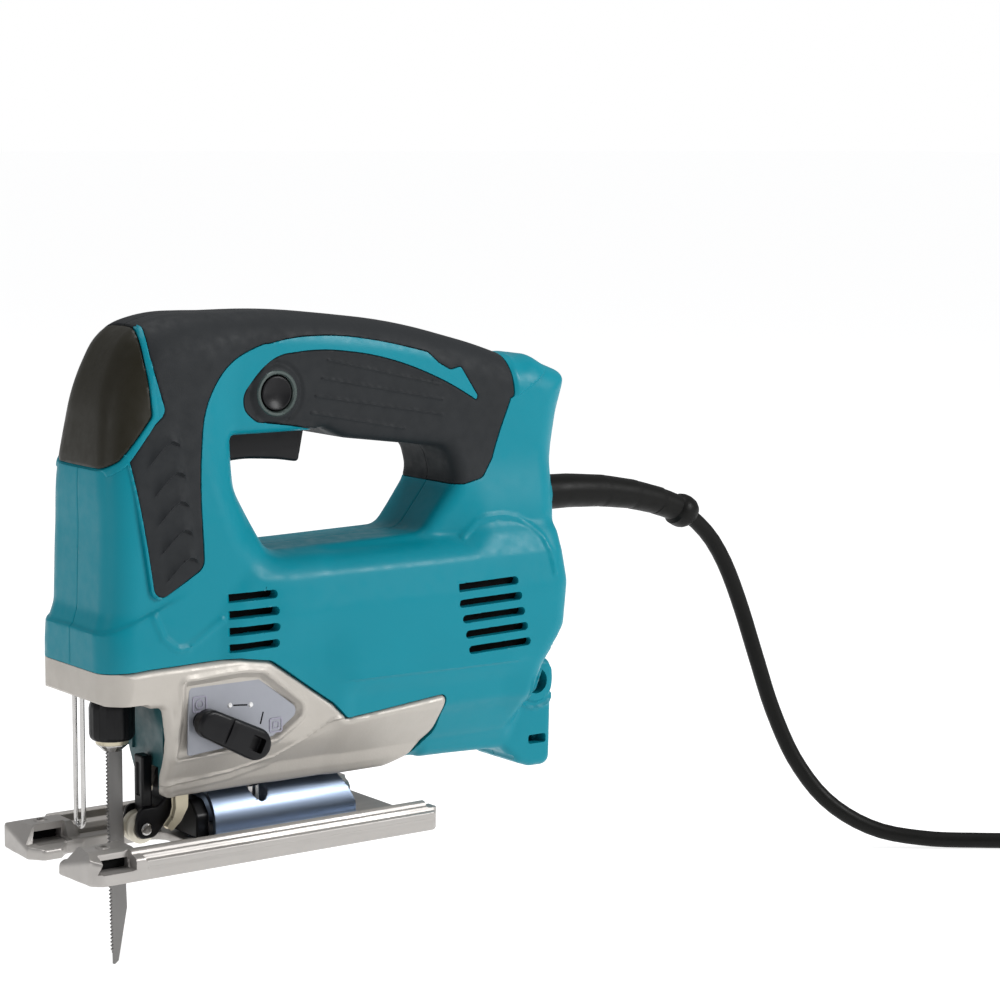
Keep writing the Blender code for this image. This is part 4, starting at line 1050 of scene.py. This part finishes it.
# ---- cord ----
CORD_RADIUS = 0.0035
CORD_ROUTE = ((0.2372, 0, 0.1088), (0.2440, 0, 0.1035), (0.2507, -0.0005, 0.0962),
              (0.2580, -0.0015, 0.0840), (0.2650, -0.0035, 0.0660), (0.2715, -0.0070, 0.0430),
              (0.2780, -0.0115, 0.0190), (0.2865, -0.0180, -0.0040), (0.2985, -0.0270, -0.0225),
              (0.3150, -0.0390, -0.0345), (0.3340, -0.0527, -0.0390), (0.3540, -0.0672, -0.0398),
              (0.3740, -0.0819, -0.0398), (0.3905, -0.0940, -0.0398))
TAIL_ROUTE = ((0.4365, -0.1000, -0.0184), (0.4488, -0.1027, -0.0184), (0.4609, -0.1000, -0.0181),
              (0.4708, -0.0925, -0.0171), (0.4758, -0.0838, -0.0157), (0.4775, -0.0740, -0.0148))
COIL_CENTRE = (0.4421, -0.0724)


def coil_points():
    """Three layers of turns, in, out and in again, from the lead-in to the tail."""
    start = math.atan2(-0.1111 + 0.0724, 0.4137 - 0.4421)
    finish = math.atan2(TAIL_ROUTE[0][1] - COIL_CENTRE[1], TAIL_ROUTE[0][0] - COIL_CENTRE[0])
    sweep = (finish - start) % (2 * math.pi) + 9 * 2 * math.pi
    climb = 1.3
    lay = (sweep - 2 * climb) / 3
    keys = [(0, 0.0480, -0.0398), (lay, 0.0277, -0.0398), (lay + climb, 0.0278, -0.0328),
            (2 * lay + climb, 0.0480, -0.0328), (2 * lay + 2 * climb, 0.0480, -0.0258),
            (3 * lay + 2 * climb - 1.6, 0.0300, -0.0258), (sweep, 0.0282, -0.0184)]
    angles = [key[0] for key in keys]
    points = []
    steps = int(sweep / math.radians(9))
    for index in range(1, steps):
        turn = sweep * index / steps
        radius = float(np.interp(turn, angles, [key[1] for key in keys]))
        span = max(k for k in range(len(keys) - 1) if keys[k][0] <= turn)
        share = (turn - keys[span][0]) / (keys[span + 1][0] - keys[span][0])
        height = keys[span][2] + (keys[span + 1][2] - keys[span][2]) * float(ramp(np.array(share), 0, 1))
        points.append(Vector((COIL_CENTRE[0] + radius * math.cos(start + turn),
                              COIL_CENTRE[1] + radius * math.sin(start + turn), height)))
    return points


def make_cord():
    line = smooth_path(CORD_ROUTE + ((0.4137, -0.1111, -0.0398),), 0.006) + coil_points()
    line += smooth_path(TAIL_ROUTE, 0.006)
    length = sum((b - a).length for a, b in zip(line, line[1:]))
    curve = bpy.data.curves.new("mains_cord", "CURVE")
    curve.dimensions = "3D"
    curve.bevel_depth = CORD_RADIUS
    curve.bevel_resolution = 4
    curve.use_fill_caps = True
    spline = curve.splines.new("POLY")
    spline.points.add(len(line) - 1)
    for spot, point in zip(spline.points, line):
        spot.co = (*point, 1)
    spline.use_smooth = True
    curve.materials.append(MATERIAL["cord"])
    piece = bpy.data.objects.new("mains_cord", curve)
    bpy.context.scene.collection.objects.link(piece)
    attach(piece, "housing")
    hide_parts("power_cord", "cord_coil", "cord_tail")
    return piece, round(length, 3)


def plug_field(x, y, z):
    """Moulded plug: waisted grip, flat face and ribbed tail."""
    t = (y - PLUG_TAIL) / 34.0
    half_x = np.interp(t, (0, 0.25, 0.55, 0.9, 1.0), (5.0, 7.2, 10.4, 12.6, 12.4))
    half_z = np.interp(t, (0, 0.25, 0.55, 0.9, 1.0), (4.6, 5.2, 6.4, 7.4, 7.2))
    rib = ramp(np.abs((y - PLUG_TAIL) % 3.2 - 1.6), 0.5, 0.9)
    grip = 0.6 * rib * ramp(-y, 50, 52) * ramp(y, -72.5, -71.5)
    px = np.abs(x - PLUG_X) / (half_x - grip)
    pz = np.abs(z + 14.8) / (half_z - grip)
    section = ((px ** 3 + pz ** 3) ** (1 / 3) - 1) * np.minimum(half_x, half_z)
    return rounded(section, both(-73.4 - y, y + 39.9), 1.2)


# ---- camera, light and floor ----
def make_stage():
    scene = bpy.context.scene
    scene.view_settings.view_transform = "Standard"
    right = Vector((0.80617, -0.59165, 0.00585))
    up = Vector((0.07390, 0.11050, 0.99112))
    forward = Vector((0.58705, 0.79858, -0.13281))
    lens = bpy.data.cameras.new("camera")
    lens.lens = 99.92
    lens.sensor_width = 36.0
    lens.clip_start = 0.05
    eye = bpy.data.objects.new("camera", lens)
    eye.matrix_world = Matrix.Translation((-0.5405, -0.9183, 0.2760)) @ Matrix(
        (right, up, -forward)).transposed().to_4x4()
    scene.collection.objects.link(eye)
    scene.camera = eye

    build = bmesh.new()
    bmesh.ops.create_grid(build, x_segments=1, y_segments=1, size=30.0)
    mesh = bpy.data.meshes.new("floor")
    build.to_mesh(mesh)
    build.free()
    floor = bpy.data.objects.new("floor", mesh)
    floor.location = (0.3, 0.4, FLOOR * MM)
    scene.collection.objects.link(floor)
    made, tree, shader = nodes_of("floor_paper")
    set_inputs(shader, {"Base Color": (0.45, 0.45, 0.45, 1), "Emission Color": (1, 1, 1, 1),
                        "Emission Strength": 0.84, "Roughness": 0.9, "Specular IOR Level": 0.1})
    mesh.materials.append(made)

    world = bpy.data.worlds.new("studio")
    world.use_nodes = True
    tree = world.node_tree
    back = tree.nodes["Background"]
    set_inputs(back, {"Color": (0.97, 0.98, 1.0, 1), "Strength": 0.32})
    bright = tree.nodes.new("ShaderNodeBackground")
    set_inputs(bright, {"Color": (1, 1, 1, 1), "Strength": 1.0})
    path = tree.nodes.new("ShaderNodeLightPath")
    choose = tree.nodes.new("ShaderNodeMixShader")
    tree.links.new(path.outputs["Is Camera Ray"], choose.inputs[0])
    tree.links.new(back.outputs[0], choose.inputs[1])
    tree.links.new(bright.outputs[0], choose.inputs[2])
    tree.links.new(choose.outputs[0], tree.nodes["World Output"].inputs["Surface"])
    scene.world = world
    for name, place, aim, size, power in (
            ("key", (0.95, -1.1, 0.85), (0.06, 0, 0.09), 0.7, 17),
            ("top", (0.1, 0.2, 1.6), (0.05, 0, 0.1), 0.9, 12),
            ("front", (-1.3, -0.1, 0.35), (0.0, 0, 0.1), 0.6, 1.6)):
        lamp = bpy.data.lights.new(name, "AREA")
        lamp.shape = "DISK"
        lamp.size = size
        lamp.energy = power
        fixture = bpy.data.objects.new(name, lamp)
        fixture.location = place
        fixture.rotation_euler = (Vector(aim) - Vector(place)).to_track_quat("-Z", "Y").to_euler()
        scene.collection.objects.link(fixture)


def make_shells():
    low, high = (9, -36, 12), (240, 36, 210)
    grown("housing_shell_left", shell_half(-1), low, (high[0], 1.5, high[2]), 0.9,
          "teal", replaces="housing_left")
    grown("housing_shell_right", shell_half(1), (low[0], -1.5, low[2]), high, 0.9,
          "teal", replaces="housing_right")
    grown("soft_grip_left", grip_half(-1), (15, -33, 96), (210, 1.5, 210), 0.7, "rubber",
          replaces="grip_left")
    grown("soft_grip_right", grip_half(1), (15, -1.5, 96), (210, 33, 210), 0.8, "rubber",
          replaces="grip_right")
    grown("front_cap", bumper_field, (10, -32, 144), (46, 32, 210), 0.6, "cap", replaces="nose_bumper")
    grown("edge_band", band_field, (10, -32, 98), (52, 32, 210), 0.5, "teal")
    grown("gear_case", casting_field, (10, -34, 18), (166, 34, 82), 0.75, "cast",
          replaces="gear_housing")


def make_blade_end():
    """Blade clamp, roller and fork, guards, and the bracket with its stop and strips."""
    x = STROKE_X
    lathe("clamp_grip", ((6.5, 45.6), (7.6, 45.6), (8.4, 46.4), (8.8, 47.6), (8.8, 57.6), (8.4, 59.2),
            (7.7, 60.7),
                         (6.6, 60.8), (6.5, 60.0)), (x, 0, 0), "z", "black", "clamp", "clamp_sleeve",
                         ends=False)
    for vertex in bpy.data.objects["clamp_grip"].data.vertices:  # flutes round the sleeve
        flat = Vector((vertex.co.x - (x - DATUM) * MM, vertex.co.y, 0))
        turn = math.atan2(flat.y, flat.x)
        if flat.length > 0.0083 and 0.047 < vertex.co.z < 0.058:
            vertex.co -= flat.normalized() * (0.00022 * (1 + math.cos(18 * turn)))
    lathe("collet_ring", ((3.6, 43.0), (5.4, 43.2), (6.3, 44.0), (6.3, 45.5), (4.0, 45.7)), (x, 0, 0), "z",
            "ring",
          "plunger", sides=48)
    grown("fork_casting", fork_field, (34, -8, 3), (61, 8, 42), 0.4, "black", "fork", "roller_fork")
    grown("splash_guard", guard_field, (41, -25, 20), (49, 25, 63), 0.5, "dark_teal", replaces="inner_guard")
    grown("bevel_arch", bracket_field, (63, -27, 2), (141, 27, 25), 0.6, "zinc", "base", "bevel_bracket")
    lathe("roller_wheel", ((2.6, -3.6), (4.4, -3.6), (5.0, -3.2), (5.9, -2.9), (6.3, -2.5), (6.3, -1.3),
            (5.9, -1.0),
                           (5.3, -0.8), (5.3, 0.8), (5.9, 1.0), (6.3, 1.3), (6.3, 2.5), (5.9, 2.9),
                           (5.0, 3.2),
                           (4.4, 3.6), (2.6, 3.6), (2.6, -3.6)), (ROLLER[0], 0, ROLLER[1]), "y", "pale_rim",
                           "roller",
          "guide_roller", ends=False)
    lathe("roller_axle", ((0, -6.6), (1.7, -6.6), (2.3, -6.2), (2.3, 6.2), (1.7, 6.6), (0, 6.6)),
            (ROLLER[0], 0, ROLLER[1]), "y",
          "steel", "fork", "roller_pin", sides=40)
    profile_plate("bracket_stop", ((-10.8, 4.2, 1), (10.8, 4.2, 1), (10.8, 13, 3), (6, 18.6, 4),
            (-6, 18.6, 4),
                                   (-10.8, 13, 3)), 59.8, 65.6, 0.6, "black", "base", plane="front")
    for name, low, high in (("return_strip_left", -10.6, -7.4), ("return_strip_right", 7.4, 10.6)):
        profile_plate(name, ((51.0, 23, 0.4), (56.0, 23, 0.4), (55.8, 17.4, 2.0), (52.8, 12.4, 2.5),
                (49.0, 9.2, 0.8),
                             (47.2, 10.6, 0.6), (50.2, 14.0, 2.0), (51.2, 17.4, 1.5)),
                             low, high, 0.35, "ring")
    wire = [(15.4, -3, 72.5 - 7 * k) for k in range(8)]
    wire += [(15.4, -3 * math.cos(a), 16.5 - 3 * math.sin(a)) for a in np.linspace(0, math.pi, 17)]
    wire += [(15.4, 3, 72.5 - 7 * k) for k in range(7, -1, -1)]
    tube("finger_wire", [(row(point), 0.00092) for point in wire], "steel", replaces="wire_guard", sides=20)


def blade_field(x, y, z):
    """Blade with fine teeth, thinned towards their points; its back runs in to the tip."""
    pitch = 1.45
    phase = (z / pitch) % 1.0
    tooth = np.where(phase < 0.72, phase / 0.72, (1 - phase) / 0.28)
    root = 27.5 + 0.02 * np.maximum(0.0, 20 - z)
    toothed = ramp(-z, -41.5, -40.5) * ramp(z, -38.5, -37.5)
    front = root - 0.95 * tooth * toothed
    back = np.interp(z, (-43, -21, 18, 50), (30.6, 34.8, 33.5, 33.5))
    tip = (-42.6 - z) * 0.8 + (x - 29.4) * 0.6 * (x > 29.4)
    flank = np.abs(y) - 0.6 + 0.22 * np.clip((root + 0.3 - x) / 1.2, 0, 1)
    nose = both((27.2 - x) * 0.93 - (z + 38.0) * 0.37, -42.8 - z)
    flat = both(front - x, x - back, z - 50, tip, nose - 0.6)
    return rounded(flat * 0.8, flank, 0.12)


def make_saw_blade():
    grown("jig_blade", blade_field, (24, -1.5, -46), (37, 1.5, 52), 0.2, "blade", "plunger",
          replaces="saw_blade", sharp=35)


def make_dial():
    """Recessed plate behind the selector with its generic marks."""
    profile_plate("dial_plate", ((46.2, 41.6, 1), (83.6, 44.8, 3), (96.0, 53.6, 3), (77.2, 68.0, 4),
            (69, 68.9, 6),
                                 (46.8, 68.0, 2)), -28.35, -27.2, 0.25, "plate")
    for name, centre, half, round_mark in (("mark_front", (51.4, 61.1), 3.1, True),
                                           ("mark_rear", (84.8, 49.0), 2.9, False)):
        corner = 1.0
        outer = [(centre[0] - half, centre[1] - half, corner), (centre[0] + half, centre[1] - half, corner),
                 (centre[0] + half, centre[1] + half, corner), (centre[0] - half, centre[1] + half, corner)]
        frame_strip(name, outer, 0.6, -28.62, -28.2, "pale")
        if round_mark:
            lathe(name + "_dot", ((1.9, -28.6), (1.9, -28.25), (1.3, -28.25), (1.3, -28.6), (1.9, -28.6)),
                  (centre[0], 0, centre[1]), "y", "pale", ends=False, sides=32)
        else:
            inner = [(a, b, 0.5) for a, b in ((centre[0] - 1.4, centre[1] - 1.4),
                    (centre[0] + 1.4, centre[1] - 1.4),
                                              (centre[0] + 1.4, centre[1] + 1.4),
                                              (centre[0] - 1.4, centre[1] + 1.4))]
            frame_strip(name + "_inner", inner, 0.4, -28.6, -28.2, "pale")
    for index, (px, pz) in enumerate(((64.5, 59.0), (73.7, 58.2))):
        lathe(f"stop_dot_{index}", ((0, -28.75), (0.7, -28.7), (1.05, -28.4), (1.05, -28.2)), (px, 0, pz),
                "y",
              "bright", sides=24)
    for name, start, end in (("link_line", (66.0, 58.9), (72.2, 58.35)),
            ("short_line", (79.2, 54.8), (77.9, 50.2))):
        direction = Vector((end[0] - start[0], end[1] - start[1])).normalized()
        offset = Vector((-direction.y, direction.x)) * 0.28
        outline = [(start[0] - offset.x, start[1] - offset.y, 0.1),
                (end[0] - offset.x, end[1] - offset.y, 0.1),
                   (end[0] + offset.x, end[1] + offset.y, 0.1),
                   (start[0] + offset.x, start[1] + offset.y, 0.1)]
        profile_plate(name, outline, -28.5, -28.2, 0.08, "dark")


def frame_strip(name, outline, width, low, high, material):
    """Thin raised frame that follows a closed outline on the side."""
    outer = fillet(outline)
    inner = inset(outer, width)
    build = bmesh.new()
    loops = [[build.verts.new(row((p.x, level, p.y))) for p in ring]
             for level, ring in ((high, outer), (low, outer), (low, inner), (high, inner))]
    bridge(build, loops + loops[:1])
    return finished(name, build, material)


def make_controls():
    lock = (LOCK[0], 0, LOCK[1])
    lathe("lock_cap", ((0, -19.3), (2.0, -19.4), (4.6, -19.9), (5.9, -20.5), (6.4, -20.4), (6.8, -19.6),
            (6.9, -18.4),
                       (6.9, -14.0), (3.0, -14.0), (3.0, -11.0), (0, -11.0)), lock, "y", "black", "lock_knob",
          "lock_button")
    # collar ring in the grey-green finish that paints the highlight of the button's bevel
    lathe("lock_collar", ((7.15, -17.0), (7.15, -20.2), (7.6, -20.9), (8.5, -21.0), (9.0, -20.4),
            (9.2, -19.0), (9.2, -17.0),
                          (7.15, -17.0)), lock, "y", "collar", ends=False)
    grown("trigger_blade", trigger_field, (70, -9, 144), (116, 9, 168), 0.6, "black", "trigger_lever",
          replaces="trigger")
    grown("selector_arm", lever_field, (42, -41, 36), (82, -20, 64), 0.45, "black", "selector",
          replaces="orbital_lever")


def make_slot_shade_sheets():
    """Painted shade: black sheets behind the air slots stand in for the shadow inside the housing, so that
    nothing shows through them.
    """
    for side, name in ((-1, "left"), (1, "right")):
        # painted shade: each sheet is black so the slots read as the dark inside of the housing
        low, high = sorted((side * 27.6, side * 28.6))
        profile_plate("rear_slot_shade_" + name, ((160, 65, 2), (209, 65, 2), (209, 99, 2), (160, 99, 2)),
                low, high, 0.2,
                      "dark")
        low, high = sorted((side * 25.0, side * 26.0))
        profile_plate("front_slot_shade_" + name, ((58, 77.8, 2), (90, 77.8, 2), (90, 103, 2), (58, 103, 2)),
                low, high,
                      0.2, "dark")


def make_sleeve():
    """Bend protector: straight out of the boss, drooping, with a flared ring at its end."""
    keys = (((217.6, 125), 9.4), ((220.6, 125), 9.4), ((220.9, 125), 7.6), ((229, 125), 7.5),
            ((247, 124.8), 7.2),
            ((265, 123.4), 6.8), ((282, 120.6), 6.3), ((296, 116.8), 6.0), ((305.6, 113.2), 5.8),
            ((306.6, 112.8), 7.0),
            ((308.6, 111.9), 7.35), ((310.6, 110.9), 7.35), ((312.4, 110.0), 6.9), ((313.7, 109.2), 6.0))
    path = np.array([(k[0][0], k[0][1]) for k in keys])
    run = np.concatenate(([0], np.cumsum(np.linalg.norm(np.diff(path, axis=0), axis=1))))
    radii = np.array([k[1] for k in keys])
    stations = []
    for spot in np.unique(np.concatenate((np.linspace(run[3], run[8], 46), run))):
        u = float(np.interp(spot, run, path[:, 0]))
        w = float(np.interp(spot, run, path[:, 1]))
        stations.append([u, w, float(np.interp(spot, run, radii))])
    heights = [station[1] for station in stations]
    for _ in range(6):
        heights = [heights[0]] + [(a + 2 * b + c) / 4 for a, b,
                c in zip(heights, heights[1:], heights[2:])] + [
            heights[-1]]
    tube("bend_sleeve", [(row((u, 0, h)), r * MM) for (u, _, r), h in zip(stations, heights)], "cord",
         replaces="strain_relief", sides=40)


make_stage()
cord, cord_length = make_cord()
finish_cad_nodes()
make_shells()
make_controls()
make_blade_end()
make_saw_blade()
make_dial()
make_slot_shade_sheets()
make_sleeve()
# Painted shade: black plates in the shoe's rule slots stand in for the shadow deep inside the slots.
for side_name, near, far in (("left", -30.5, -24.0), ("right", 24.0, 30.5)):
    profile_plate("rule_slot_shade_" + side_name, ((4.9, 4.5, 0.2), (17.5, 4.5, 0.2), (17.5, 8.2, 0.2),
            (4.9, 8.2, 0.2)),
                  near, far, 0.1, "dark", "base")
grown("shoe_casting", shoe_field, (-2, -41, -2), (158, 41, 14), 0.6, "shoe", "base", replaces="shoe")
plug = grown("mains_plug", plug_field, (PLUG_X - 15, -76, -24), (PLUG_X + 15, -37, -6), 0.5,
             "cord", replaces="plug_body")

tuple(CORD_ROUTE[0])
